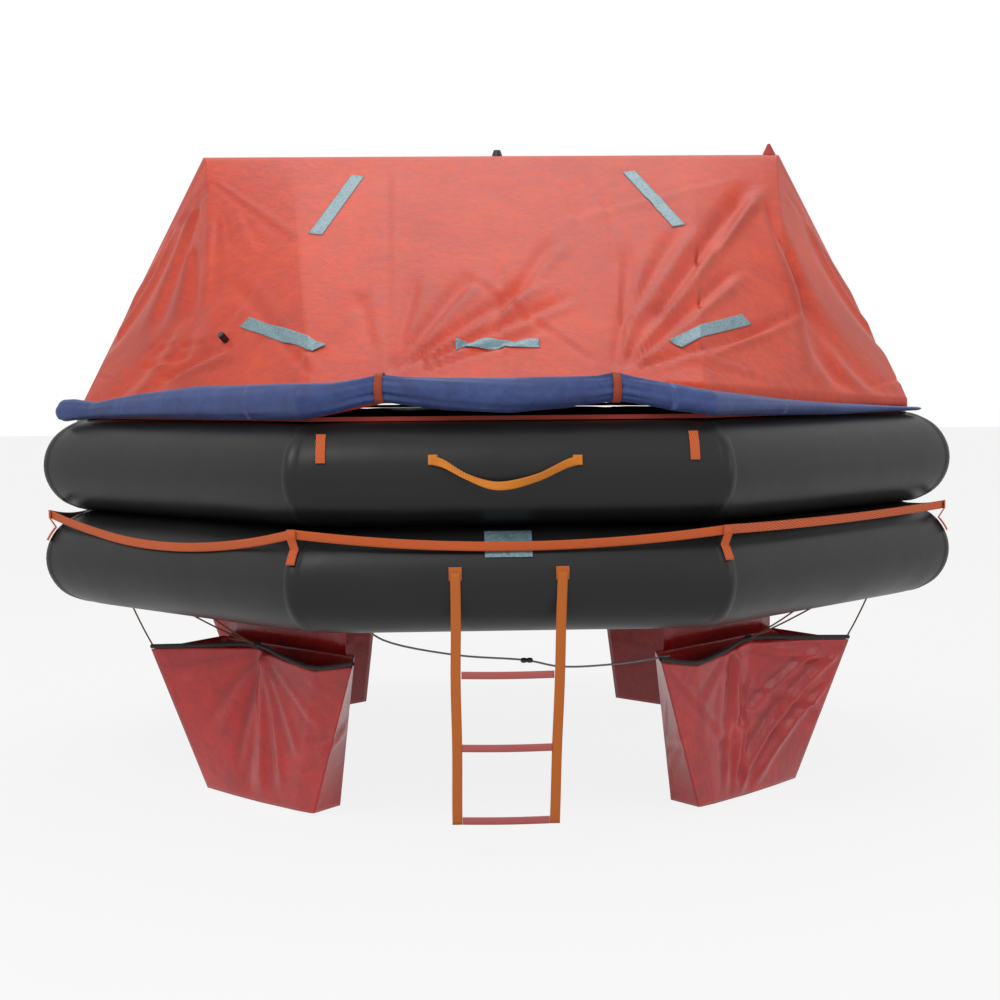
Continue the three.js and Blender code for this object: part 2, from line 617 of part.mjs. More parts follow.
// The trip cord hangs from the floor to the right front bag, with a toggle in its middle.
function buildTripCord() {
  const points = [
    V(-436, -1150, FLOOR_STEP - 3.2), V(-369, -1112, -54), V(-156, -1110, -102), V(58, -1110, -121),
    V(157, -1110, -141), V(321, -1105, -137), V(492, -1060, -122),
  ];
  const toggle = new THREE.CylinderGeometry(8, 8, 36, 10).rotateZ(Math.PI / 2).translate(58, -1110, -121);
  add('trip_cord', toGeometry(toSolid(cord(points, 3, 40)).add(toSolid(toggle))), '#8d9296', 0.8);
}

const SPOUT_PLACE = [-1.66, 0.205]; // the rain catcher's spout, as [turn, up] of the front rulings

// Small fittings on the canopy
function buildCanopyFittings() {
  const crest = ARCH_AXIS_Z + CANOPY_R + CANOPY_T + TOUCH;
  const lamp = new THREE.CylinderGeometry(12, 20, 22, 16).rotateX(Math.PI / 2);
  add('canopy_light', lamp.translate(17, 0, crest + 11), '#303030', 0.4);
  const arm = new THREE.CylinderGeometry(30, 30, 18, 16).rotateX(Math.PI / 2);
  const soffit = ARCH_AXIS_Z - ARCH_R * Math.cos(Math.PI / ARCH_FACETS);
  add('cabin_light', arm.translate(0, 0, soffit - TOUCH - 9), '#e8e4d8', 0.3);
  const peak = new THREE.CylinderGeometry(5, 26, 40, 6).rotateX(Math.PI / 2);
  add('shoulder_peak', peak.translate(SHOULDER_X + 34, 0, crest + 20), '#d03a2c', 0.6);
  const at = onCanopy(...SPOUT_PLACE);
  const normal = canopyNormal(...SPOUT_PLACE);
  const spout = new THREE.CylinderGeometry(11, 11, 60, 12);
  spout.applyQuaternion(new THREE.Quaternion().setFromUnitVectors(V(0, 1, 0), normal));
  spout.translate(at.x, at.y, at.z);
  const clear = toSolid(sheet(canopyGrid(CANOPY_T + TOUCH), canopyGrid(-200)));
  add('rain_spout', toGeometry(toSolid(spout).subtract(clear)), '#161414', 0.6);
}

// Gas bottle under the rear side, with its head, lever, hoses and inlet valves
const BOTTLE_Y = TUBE_LINE;
const BOTTLE_Z = -BOTTLE_R - TOUCH;
const INLETS = { lower: [480, LOWER_Z], upper: [560, UPPER_Z] };
const VALVE_FACE = OUTSIDE + 14;

function revolved(profile) {
  const points = profile.map(([r, x]) => new THREE.Vector2(r, x));
  return new THREE.LatheGeometry(points, 20).rotateZ(-Math.PI / 2).translate(0, BOTTLE_Y, BOTTLE_Z);
}

function roundAlongY(radius, x, y0, y1, z) {
  return new THREE.CylinderGeometry(radius, radius, y1 - y0, 20).translate(x, (y0 + y1) / 2, z);
}

function buildBottle() {
  const r = BOTTLE_R;
  const end = BOTTLE_HALF;
  add('gas_bottle', revolved([
    [0, -end], [r * 0.5, -end + 6], [r * 0.87, -end + 28], [r, -end + 64],
    [r, end - 64], [r * 0.87, end - 28], [r * 0.5, end - 6], [22, end], [0, end],
  ]), '#5c6468', 0.4, 0.6);
  const neck = end + TOUCH;
  const body = toSolid(revolved([[0, neck], [26, neck], [26, neck + 84], [20, neck + 90], [0, neck + 90]]));
  const ports = [neck + 28, neck + 62].map((x) =>
    toSolid(roundAlongY(14, x, BOTTLE_Y, BOTTLE_Y + 44, BOTTLE_Z)));
  add('valve_head', toGeometry(body.add(ports[0]).add(ports[1])), '#b08d4a', 0.35, 0.8);
  const lever = box(neck + 38, neck + 50, BOTTLE_Y - 8, BOTTLE_Y + 8, BOTTLE_Z - 96, BOTTLE_Z - 26 - TOUCH);
  add('firing_lever', lever, '#c23a2a', 0.5);
  [['lower', neck + 28, -1], ['upper', neck + 62, 1]].forEach(([name, portX]) => {
    const [x, z] = INLETS[name];
    const start = BOTTLE_Y + 44 + 3 * TOUCH;
    const out = VALVE_FACE + 46;
    add(`gas_hose_${name}`, cord([
      V(portX, start, BOTTLE_Z), V(portX, start + 30, BOTTLE_Z),
      V((portX + x) / 2, out - 12, BOTTLE_Z + 50), V(x, out, Math.min(z - 60, 90)),
      V(x, out - 6, z - 22), V(x, VALVE_FACE + 20, z), V(x, VALVE_FACE + TOUCH, z),
    ], HOSE_R, 30), '#1a1a1c', 0.6);
    const tube = name === 'lower' ? lowerGrown : upperGrown;
    const valve = toSolid(roundAlongY(24, x, OUTSIDE - 30, VALVE_FACE, z)).subtract(tube);
    add(`inlet_valve_${name}`, toGeometry(valve), '#2a2a2c', 0.4);
    const relief = toSolid(roundAlongY(28, -x, OUTSIDE - 30, OUTSIDE + 9, z)).subtract(tube);
    add(`relief_valve_${name}`, toGeometry(relief), '#c8ccd0', 0.4);
  });
}

// Webbing slings carry the bottle under the tube.
function buildSlings() {
  const r = BOTTLE_R + SLING_SLACK + WEB_T / 2;
  ['left', 'right'].forEach((side, i) => {
    const x = (2 * i - 1) * BOTTLE_HALF * 0.55;
    const angles = Array.from({ length: 13 }, (_, k) => Math.PI + k * Math.PI / 12);
    const under = angles.map((a) => V(x, BOTTLE_Y + r * Math.cos(a), BOTTLE_Z + r * Math.sin(a)));
    const top = [-1, 1].map((s) => V(x, BOTTLE_Y + s * (r + 2), TUBE_R / 3));
    const sling = toSolid(strap([top[0], ...under, top[1]], 50, WEB_T, V(1, 0, 0).cross(V(0, 1, 0))));
    add(`bottle_sling_${side}`, toGeometry(sling.subtract(lowerGrown)), '#26262a', 0.7);
  });
}

// Topping-up valves and their screw caps, on the inside of the rear side
function buildToppingValves() {
  const inside = TUBE_LINE - TUBE_R;
  [['lower', -380, LOWER_Z, lowerGrown], ['upper', -300, UPPER_Z, upperGrown]]
    .forEach(([name, x, z, tube]) => {
      const seat = inside - 16;
      const valve = toSolid(roundAlongY(25, x, seat, inside + 30, z)).subtract(tube);
      add(`topping_valve_${name}`, toGeometry(valve), '#2a2a2c', 0.4);
      add(`topping_cap_${name}`, roundAlongY(19, x, seat - TOUCH - 12, seat - TOUCH, z), '#d8a020', 0.4);
    });
}

function buildPack() {
  const outline = (grow, z) => [[-1, -1], [1, -1], [1, 1], [-1, 1]].map(([u, v]) =>
    V(-480 + u * (210 + grow), 700 + v * (130 + grow), FLOOR_T + TOUCH + z));
  add('emergency_pack', loft([
    outline(-16, 0), outline(0, 20), outline(0, 170), outline(-16, 190),
  ]), '#d8582a', 0.7);
}

buildFloat();
buildArch();
buildCanopy();
buildTapes();
buildRolls();
buildLifelines();
buildHandle();
buildPatches();
buildLadder();
buildBags();
buildTripCord();
buildCanopyFittings();
buildBottle();
buildSlings();
buildToppingValves();
buildPack();

export default raft;
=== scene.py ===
"""An inflated, canopied liferaft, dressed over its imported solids. Metres, +Z up, -Y is the front."""
import math

import bpy
import numpy as np
from mathutils import Matrix, Vector
from mathutils.bvhtree import BVHTree


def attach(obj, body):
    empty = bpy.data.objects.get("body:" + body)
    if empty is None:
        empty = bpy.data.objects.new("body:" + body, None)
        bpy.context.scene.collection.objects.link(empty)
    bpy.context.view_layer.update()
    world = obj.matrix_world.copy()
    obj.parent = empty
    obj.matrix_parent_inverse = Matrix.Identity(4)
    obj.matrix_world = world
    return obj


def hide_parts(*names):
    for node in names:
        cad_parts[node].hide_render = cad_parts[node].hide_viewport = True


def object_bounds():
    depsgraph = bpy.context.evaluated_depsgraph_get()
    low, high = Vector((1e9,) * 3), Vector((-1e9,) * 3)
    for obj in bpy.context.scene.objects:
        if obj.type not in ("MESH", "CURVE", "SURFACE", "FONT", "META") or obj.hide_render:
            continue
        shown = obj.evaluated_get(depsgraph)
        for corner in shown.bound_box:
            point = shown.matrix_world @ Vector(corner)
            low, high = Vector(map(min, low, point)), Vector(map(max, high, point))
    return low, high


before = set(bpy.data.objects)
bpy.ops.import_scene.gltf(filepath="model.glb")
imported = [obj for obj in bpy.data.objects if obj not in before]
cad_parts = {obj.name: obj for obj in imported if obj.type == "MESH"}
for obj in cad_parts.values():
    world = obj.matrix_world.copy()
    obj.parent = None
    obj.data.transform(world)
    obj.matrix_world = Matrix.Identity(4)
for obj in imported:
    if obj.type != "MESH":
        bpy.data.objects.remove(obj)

cad_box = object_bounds()


# ---- Camera: a little left of the middle and above the floats, looking slightly down, level with
# the eye of someone who stands in front of the raft.
CAMERA_AT = (-0.17243, -6.15492, 0.70644)
CAMERA_YAW, CAMERA_DOWN, CAMERA_ROLL = -0.0307, 0.0688, -0.009

camera = bpy.data.objects.new("camera", bpy.data.cameras.new("camera"))
camera.data.sensor_width = 36.0
camera.data.lens = 61.53
camera.matrix_world = (
    Matrix.Translation(CAMERA_AT)
    @ Matrix.Rotation(CAMERA_YAW, 4, "Z")
    @ Matrix.Rotation(math.pi / 2 - CAMERA_DOWN, 4, "X")
    @ Matrix.Rotation(CAMERA_ROLL, 4, "Z")
)
bpy.context.scene.collection.objects.link(camera)
bpy.context.scene.camera = camera
bpy.context.scene.view_settings.view_transform = "Standard"


# ---- Trip cord: 6 mm braided cord from the floor's edge to the right front bag, with a dark moulded
# toggle in its middle. It hangs slack under the front tube and pulls the bags shut.
def linear(code):
    """An sRGB hex colour as linear RGBA."""
    parts = [int(code[i:i + 2], 16) / 255 for i in (1, 3, 5)]
    return tuple(c / 12.92 if c <= 0.04045 else ((c + 0.055) / 1.055) ** 2.4 for c in parts) + (1.0,)


def node(tree, kind, sockets=None, **settings):
    """Adds a shader node; a socket's value is a number, a colour or another node's output."""
    made = tree.nodes.new(kind)
    for name, value in settings.items():
        setattr(made, name, value)
    for name, value in (sockets or {}).items():
        if isinstance(value, bpy.types.NodeSocket):
            tree.links.new(value, made.inputs[name])
        else:
            made.inputs[name].default_value = value
    return made


def noise(tree, place, scale, detail):
    return node(tree, "ShaderNodeTexNoise", {"Vector": place, "Scale": scale, "Detail": detail})


def blend(tree, share, first, second):
    return node(tree, "ShaderNodeMix", {0: share, 6: first, 7: second}, data_type="RGBA")


def bumps(tree, strength, depth, height):
    return node(tree, "ShaderNodeBump", {"Strength": strength, "Distance": depth, "Height": height})


def spread(tree, share, low, high):
    """Turns a value of 0 to 1 into one from low to high."""
    return node(tree, "ShaderNodeMapRange", {0: share, 3: low, 4: high})


def plug(tree, surface, sockets):
    for name, output in sockets.items():
        tree.links.new(output, surface.inputs[name])


def new_material(name):
    """An empty material: its tree, object coordinates in metres and Principled surface."""
    material = bpy.data.materials.new(name)
    material.use_nodes = True
    tree = material.node_tree
    tree.nodes.clear()
    place = node(tree, "ShaderNodeTexCoord").outputs["Object"]
    surface = node(tree, "ShaderNodeBsdfPrincipled")
    node(tree, "ShaderNodeOutputMaterial", {"Surface": surface.outputs["BSDF"]})
    return material, tree, place, surface


# Braided polyester: matt, the strands show as fine slanted bands about 4 mm apart.
def braided(name, light, dark, roughness=0.75):
    material, tree, place, surface = new_material(name)
    slanted = node(tree, "ShaderNodeMapping", {"Vector": place, "Rotation": (0.5, 0.4, 0.7)})
    bands = node(tree, "ShaderNodeTexWave", {"Vector": slanted.outputs[0], "Scale": 80.0, "Distortion": 2.0})
    mixed = blend(tree, bands.outputs["Color"], linear(dark), linear(light))
    bump = bumps(tree, 0.5, 0.0006, bands.outputs["Color"])
    plug(tree, surface, {"Base Color": mixed.outputs[2], "Normal": bump.outputs[0]})
    surface.inputs["Roughness"].default_value = roughness
    surface.inputs["Sheen Weight"].default_value = 0.15
    return material


# Moulded plastic: smooth with a faint grain of about 1 mm and slight unevenness in its gloss.
def moulded(name, colour, roughness=0.4):
    material, tree, place, surface = new_material(name)
    grain = noise(tree, place, 900.0, 3.0)
    cloud = noise(tree, place, 25.0, 4.0)
    shade = tuple(0.7 * c for c in linear(colour)[:3]) + (1.0,)
    mixed = blend(tree, cloud.outputs[0], shade, linear(colour))
    rough = spread(tree, cloud.outputs[0], roughness - 0.08, roughness + 0.1)
    bump = bumps(tree, 0.25, 0.0003, grain.outputs[0])
    plug(tree, surface, {"Base Color": mixed.outputs[2], "Roughness": rough.outputs[0],
                         "Normal": bump.outputs[0]})
    return material


def smooth_route(points, steps):
    """Points on a centripetal spline through the given ones, as the solid cords are made."""
    p = np.array(points, float)
    p = np.vstack([2 * p[0] - p[1], p, 2 * p[-1] - p[-2]])
    out = []
    for k in range(len(p) - 3):
        q = p[k:k + 4]
        gaps = np.sqrt(np.linalg.norm(np.diff(q, axis=0), axis=1))
        t = np.concatenate([[0], np.cumsum(gaps)])
        for u in np.linspace(t[1], t[2], steps, endpoint=False):
            a = [((t[i + 1] - u) * q[i] + (u - t[i]) * q[i + 1]) / (t[i + 1] - t[i]) for i in range(3)]
            b = [((t[i + 2] - u) * a[i] + (u - t[i]) * a[i + 1]) / (t[i + 2] - t[i]) for i in range(2)]
            out.append(((t[2] - u) * b[0] + (u - t[1]) * b[1]) / (t[2] - t[1]))
    return np.array(out + [p[-2]])


def show(name, data, material, body="raft"):
    """Links a piece, gives it its material, and lets it ride on a body."""
    made = bpy.data.objects.new(name, data)
    bpy.context.scene.collection.objects.link(made)
    data.materials.append(material)
    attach(made, body)
    return made


def round_cord(name, route, radius, material, body="raft"):
    curve = bpy.data.curves.new(name, "CURVE")
    curve.dimensions = "3D"
    curve.bevel_depth = radius
    curve.bevel_resolution = 4
    curve.use_fill_caps = True
    spline = curve.splines.new("POLY")
    spline.points.add(len(route) - 1)
    for point, at in zip(spline.points, route):
        point.co = (*at, 1.0)
    return show(name, curve, material, body)


def turned(name, profile, centre, axis, material, body="raft", sides=48):
    """A closed round piece: profile is [radius, along the axis from the centre]."""
    angles = np.linspace(0, 2 * np.pi, sides, endpoint=False)
    rings = [[(r * math.cos(a), r * math.sin(a), h) for a in angles] for r, h in profile]
    turn = Vector(axis).to_track_quat("Z", "Y").to_matrix().to_4x4()
    place = Matrix.Translation(centre) @ turn
    points = [place @ Vector(p) for ring in rings for p in ring]
    n = sides
    faces = [(i * n + j, i * n + (j + 1) % n, (i + 1) * n + (j + 1) % n, (i + 1) * n + j)
             for i in range(len(profile) - 1) for j in range(n)]
    faces += [tuple(range(n))[::-1], tuple((len(profile) - 1) * n + j for j in range(n))]
    mesh = bpy.data.meshes.new(name)
    mesh.from_pydata(points, [], faces)
    mesh.shade_smooth()
    mesh.set_sharp_from_angle(angle=math.radians(35))
    return show(name, mesh, material, body)


CORD_GREY = braided("polyester_cord_grey", "#A9ABB0", "#75787E")
TOGGLE_DARK = moulded("toggle_dark_plastic", "#1C1E30", 0.35)
TRIP_POINTS = [(-0.436, -1.150, 0.0028), (-0.369, -1.112, -0.054), (-0.156, -1.110, -0.102),
               (0.058, -1.110, -0.121), (0.157, -1.110, -0.141), (0.321, -1.105, -0.137),
               (0.492, -1.060, -0.122)]

trip_route = smooth_route(TRIP_POINTS, 6)
trip_cord = round_cord("trip_cord_braid", trip_route, 0.003, CORD_GREY)
toggle = turned("trip_toggle", [(0.004, -0.018), (0.0075, -0.015), (0.008, -0.006), (0.006, 0.0),
                                (0.008, 0.006), (0.0075, 0.015), (0.004, 0.018)],
                (0.058, -1.110, -0.121), (1, 0, 0), TOGGLE_DARK, sides=24)
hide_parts("trip_cord")


# ---- Gas hoses: reinforced black rubber hose, 20 mm thick, from the valve head under the rear tube
# up to the inlet valve of each float. Crimped steel ferrules close both ends.
def rubber(name, colour):
    """Extruded rubber: matt black with fine lengthwise marks and dust that lightens it in patches."""
    material, tree, place, surface = new_material(name)
    dust = noise(tree, place, 18.0, 6.0)
    fine = noise(tree, place, 500.0, 2.0)
    mixed = blend(tree, dust.outputs[0], linear(colour), linear("#343436"))
    bump = bumps(tree, 0.3, 0.0004, fine.outputs[0])
    plug(tree, surface, {"Base Color": mixed.outputs[2], "Normal": bump.outputs[0]})
    surface.inputs["Roughness"].default_value = 0.6
    return material


# Metal: brushed lines about 2 mm apart under a soft film of grease.
def brushed_metal(name, colour, roughness):
    material, tree, place, surface = new_material(name)
    stretched = node(tree, "ShaderNodeMapping", {"Vector": place, "Scale": (40.0, 400.0, 400.0)})
    lines = node(tree, "ShaderNodeTexNoise", {"Vector": stretched.outputs[0], "Scale": 1.0, "Detail": 3.0})
    rough = spread(tree, lines.outputs[0], roughness - 0.1, roughness + 0.12)
    bump = bumps(tree, 0.2, 0.0002, lines.outputs[0])
    plug(tree, surface, {"Roughness": rough.outputs[0], "Normal": bump.outputs[0]})
    surface.inputs["Base Color"].default_value = linear(colour)
    surface.inputs["Metallic"].default_value = 1.0
    return material


HOSE_RUBBER = rubber("hose_rubber_black", "#161617")
FERRULE_STEEL = brushed_metal("ferrule_zinc_steel", "#B9BDC2", 0.35)
HOSE_POINTS = {
    "lower": [(0.3283, 1.3699, -0.0703), (0.3283, 1.3999, -0.0703), (0.40415, 1.523, -0.0203),
              (0.480, 1.535, 0.090), (0.480, 1.529, 0.128), (0.480, 1.509, 0.150), (0.480, 1.4893, 0.150)],
    "upper": [(0.3623, 1.3699, -0.0703), (0.3623, 1.3999, -0.0703), (0.46115, 1.523, -0.0203),
              (0.560, 1.535, 0.090), (0.560, 1.529, 0.4283), (0.560, 1.509, 0.4503), (0.560, 1.4893, 0.4503)],
}
for side, points in HOSE_POINTS.items():
    route = smooth_route(points, 5)
    hose = round_cord(f"gas_hose_rubber_{side}", route, 0.010, HOSE_RUBBER)
    for tag, at, ahead in (("start", route[0], route[1]), ("end", route[-1], route[-2])):
        along = (ahead - at) / np.linalg.norm(ahead - at)
        turned(f"hose_ferrule_{side}_{tag}",
                           [(0.0108, 0.0), (0.0122, 0.002), (0.0122, 0.009), (0.0112, 0.010),
                            (0.0122, 0.011), (0.0122, 0.018), (0.0106, 0.020)],
                           at, along, FERRULE_STEEL, sides=24)
    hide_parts(f"gas_hose_{side}")


# ---- Canopy: one tent of orange polyurethane-coated nylon, stretched over the arch and laced to a
# welt on the upper float. The coat gives a satin gloss; pulls run from the lacing to the arch.
def coated_cloth(name, light, dark, roughness, weave=0.006, blotch=3.0, coat=0.15, crease_shade=0.35):
    """Coated nylon. Its 0.5 mm weave is too fine to show, so the bump draws it at the size given."""
    material, tree, place, surface = new_material(name)
    cloud = node(tree, "ShaderNodeTexNoise", {"Vector": place, "Scale": blotch, "Detail": 5.0,
                                              "Roughness": 0.6})
    crumple = node(tree, "ShaderNodeTexNoise", {"Vector": place, "Scale": 22.0, "Detail": 6.0,
                                                "Roughness": 0.65, "Distortion": 0.6})
    both = node(tree, "ShaderNodeMath", {0: cloud.outputs[0], 1: crumple.outputs[0]}, operation="ADD")
    share = node(tree, "ShaderNodeMapRange", {0: both.outputs[0], 1: 0.75, 2: 1.25, 3: 0.0, 4: 1.0})
    mixed = blend(tree, share.outputs[0], linear(dark), linear(light))
    # Painted shade: the colour darkens towards a deep tone of the dark colour in the valleys of folds, which
    # the mesh's crease attribute marks.
    crease = node(tree, "ShaderNodeAttribute", attribute_name="crease")
    shade = node(tree, "ShaderNodeMath", {0: crease.outputs["Fac"], 1: crease_shade}, operation="MULTIPLY")
    crease_shadow = tuple(0.45 * c for c in linear(dark)[:3]) + (1.0,)
    crease_shaded = blend(tree, shade.outputs[0], mixed.outputs[2], crease_shadow)
    warp = node(tree, "ShaderNodeTexWave", {"Vector": place, "Scale": 0.314 / weave, "Distortion": 0.3},
                bands_direction="X")
    weft = node(tree, "ShaderNodeTexWave", {"Vector": place, "Scale": 0.314 / weave, "Distortion": 0.3},
                bands_direction="Z")
    woven = node(tree, "ShaderNodeMath", {0: warp.outputs["Fac"], 1: weft.outputs["Fac"]},
                 operation="MULTIPLY")
    fine = bumps(tree, 0.10, 0.0006, woven.outputs[0])
    soft = node(tree, "ShaderNodeBump", {"Strength": 0.45, "Distance": 0.006,
                                         "Height": crumple.outputs[0], "Normal": fine.outputs[0]})
    rough = spread(tree, crumple.outputs[0], roughness - 0.1, roughness + 0.12)
    plug(tree, surface, {"Base Color": crease_shaded.outputs[2], "Roughness": rough.outputs[0],
                         "Normal": soft.outputs[0]})
    surface.inputs["Coat Weight"].default_value = coat
    surface.inputs["Coat Roughness"].default_value = 0.35
    surface.inputs["Sheen Weight"].default_value = 0.1
    return material


TUBE_R, TUBE_LINE, TOUCH = 0.150, 1.325, 0.0003
LOWER_Z, UPPER_Z, UPPER_TOP = 0.150, 0.4503, 0.6003
ARCH_R, ARCH_Z, SHOULDER_X, LEG_LEAN, FOOT_GAP = 0.100, 1.400, 0.956, 0.413, 0.040
WELT_TOP, CANOPY_EDGE, FOOT_TURN = UPPER_TOP + 0.0123, 1.344, 3.766
LEG_ANGLE = math.atan2(ARCH_Z - UPPER_TOP, LEG_LEAN)
ARCH_PLACE = ([0, 0.63, 1, 1.8, 3, FOOT_TURN], [0, 0.366, 0.7, 1, 1.45, 2])
HEM_TOP = ([0, 0.63, 1, 3, FOOT_TURN], [0.087, 0.087, 0.079, 0.027, 0.027])
HEM_LOW = ([0, 0.63, 0.95, FOOT_TURN], [0.037, 0.037, 0.0, 0.0])
CLOTH_R = ARCH_R + 0.0075


def octagon(turn, apothem, z):
    """Points of an octagon; turn counts half sides from the middle of the front, to the right."""
    turn, apothem, z = np.broadcast_arrays(np.asarray(turn, float), apothem, z)
    side = np.floor((turn + 1) / 2)
    along = (turn - 2 * side) * apothem * math.tan(math.pi / 8)
    angle = side * math.pi / 4
    return np.stack([np.sin(angle) * apothem + np.cos(angle) * along,
                     -np.cos(angle) * apothem + np.sin(angle) * along, z], -1)


def grid_normals(points, ring=False):
    """Normals of a grid of points, by the slopes along its rows and columns."""
    down = np.gradient(points, axis=0)
    over = np.roll(points, -1, 1) - np.roll(points, 1, 1) if ring else np.gradient(points, axis=1)
    normal = np.cross(down, over)
    return normal / np.maximum(np.linalg.norm(normal, axis=-1, keepdims=True), 1e-12)


def grid_piece(name, points, material, body="raft", ring=False, closed=False, caps=False,
               crease=None, flip=False):
    """A mesh through a grid of points; ring joins each row's ends and closed joins the last row on."""
    rows, n = points.shape[:2]
    index = np.arange(rows * n).reshape(rows, n)
    if closed:
        index = np.vstack([index, index[:1]])
    if ring:
        index = np.hstack([index, index[:, :1]])
    quads = np.stack([index[:-1, :-1], index[1:, :-1], index[1:, 1:], index[:-1, 1:]], -1).reshape(-1, 4)
    faces = [tuple(q) for q in (quads[:, ::-1] if flip else quads).tolist()]
    corners = points.reshape(-1, 3).tolist()
    if caps:
        for row, turn in ((0, 1), (rows - 1, -1)):
            corners.append(points[row].mean(0).tolist())
            ends = [(row * n + j, row * n + (j + 1) % n, len(corners) - 1)[::turn] for j in range(n)]
            faces += [face[::-1] for face in ends] if flip else ends
    mesh = bpy.data.meshes.new(name)
    mesh.from_pydata(corners, [], faces)
    mesh.shade_smooth()
    values = np.zeros(len(corners))
    if crease is not None:
        values[:rows * n] = crease.ravel()
    mesh.attributes.new("crease", "FLOAT", "POINT").data.foreach_set("value", values.astype(np.float32))
    return show(name, mesh, material, body)


def thickened(piece, thickness, offset=-1.0):
    """Gives a cloth its thickness and a rim, as real mesh."""
    solid = piece.modifiers.new("cloth thickness", "SOLIDIFY")
    solid.thickness = thickness
    solid.offset = offset
    return piece


def arch_frame(place, foot_z):
    """The arch's axis and outward direction; place is 0 mid-ridge, 1 at the shoulder, 2 at a foot."""
    leg_x = SHOULDER_X + (ARCH_Z - foot_z) / math.tan(LEG_ANGLE)
    side = np.abs(place)
    at = [np.interp(side, [0, 1, 2], v) for v in ([0, SHOULDER_X, leg_x], [ARCH_Z, ARCH_Z, foot_z])]
    out = [np.interp(side, [0, 1, 2], v)
           for v in ([0, math.tan(LEG_ANGLE / 2), 1 / math.sin(LEG_ANGLE)], [1, 1, 0])]
    sign = np.where(place < 0, -1.0, 1.0)
    zero = np.zeros_like(side)
    return np.stack([sign * at[0], zero, at[1]], -1), np.stack([sign * out[0], zero, out[1]], -1)


def canopy_half(turn, up, offset=0.0):
    """Front cloth at turn; up is -1..0 down the valance, 0..1 from hem to arch, 1..2 over the arch."""
    side = np.abs(turn)
    radius = CLOTH_R + offset
    at, out = arch_frame(np.sign(turn) * np.interp(side, *ARCH_PLACE), UPPER_TOP + FOOT_GAP)
    z0 = WELT_TOP + TOUCH
    low = octagon(turn, CANOPY_EDGE + offset, z0 + np.interp(side, *HEM_LOW))
    hem = octagon(turn, CANOPY_EDGE + offset, z0 + np.interp(side, *HEM_TOP))
    reach = hem - at
    unit = out / np.linalg.norm(out, axis=-1, keepdims=True)
    rise, forward = (reach * unit).sum(-1), -reach[..., 1]
    wrap = np.arctan2(forward, rise) - np.arccos(radius / np.hypot(rise, forward))

    def over(angle):
        down = np.stack([np.zeros_like(angle), -radius * np.sin(angle), np.zeros_like(angle)], -1)
        return at + radius * np.cos(angle)[..., None] * out + down

    mix = np.clip(up, 0, 1)[..., None]
    points = hem + (over(wrap) - hem) * mix
    drop = np.clip(-up, 0, 1)[..., None]
    points = np.where(up[..., None] < 0, hem + (low - hem) * drop, points)
    return np.where(up[..., None] > 1, over(wrap * (2 - np.clip(up, 1, 2))), points)


def pull(x, z, ends, width, height):
    """A soft ridge along a line of the front cloth, from [x, z] to [x, z], in metres."""
    slope = 1.9
    a, b = np.array(ends[:2]) * [1, slope], np.array(ends[2:]) * [1, slope]
    px, pz = x - a[0], z * slope - a[1]
    run = b - a
    long = float(np.hypot(*run))
    t = (px * run[0] + pz * run[1]) / long ** 2
    off = (px * run[1] - pz * run[0]) / long
    grow = width * (0.45 + 0.75 * np.clip(t, 0, 1))
    taper = np.clip(t / 0.12 + 0.4, 0, 1) * np.clip((1 - t) / 0.25 + 0.2, 0, 1)
    taper = np.where((t < -0.05) | (t > 1.05), 0, taper * taper * (3 - 2 * taper))
    shape = np.exp(-(off / grow) ** 2) - 0.55 * np.exp(-((off - 1.5 * grow) / (0.9 * grow)) ** 2)
    return height * taper * shape


# Pulls of the front cloth: from [x, z] to [x, z], half width, height.
FRONT_PULLS = [
    ((-1.008, 1.159, -0.985, 0.866), 0.030, 0.016), ((-1.017, 1.326, -1.120, 0.858), 0.026, 0.014),
    ((-1.056, 0.721, -0.833, 0.829), 0.028, 0.014), ((-1.126, 0.823, -0.802, 0.843), 0.012, 0.010),
    ((-1.150, 0.760, -0.960, 0.800), 0.020, 0.010), ((-0.930, 1.250, -0.900, 0.950), 0.030, 0.008),
    ((-0.326, 0.744, -0.089, 1.048), 0.026, 0.015), ((-0.306, 0.744, 0.119, 1.037), 0.026, 0.017),
    ((-0.257, 0.755, 0.210, 0.967), 0.024, 0.015), ((-0.052, 0.867, 0.188, 1.171), 0.024, 0.012),
    ((-0.323, 0.744, -0.261, 1.040), 0.022, 0.010), ((-0.250, 0.735, 0.130, 0.860), 0.018, 0.009),
    ((0.324, 0.745, 0.480, 0.937), 0.022, 0.012), ((0.460, 0.900, 0.883, 1.385), 0.034, 0.024),
    ((0.364, 0.882, 0.604, 1.212), 0.026, 0.016), ((0.341, 0.745, 0.754, 1.062), 0.028, 0.019),
    ((0.373, 0.742, 0.851, 0.878), 0.026, 0.013), ((0.318, 0.759, 0.428, 1.137), 0.022, 0.014),
    ((0.700, 1.120, 0.860, 1.330), 0.020, 0.012), ((0.925, 1.289, 1.072, 0.653), 0.034, 0.016),
    ((0.978, 1.155, 1.000, 0.719), 0.028, 0.012), ((0.317, 1.425, 0.395, 1.225), 0.014, 0.005),
    ((0.232, 1.389, 0.287, 1.203), 0.014, 0.005), ((0.560, 0.770, 0.980, 0.930), 0.024, 0.010),
    ((-0.620, 0.760, -0.420, 0.980), 0.030, 0.008), ((-0.560, 0.735, -0.860, 1.050), 0.030, 0.007),
]


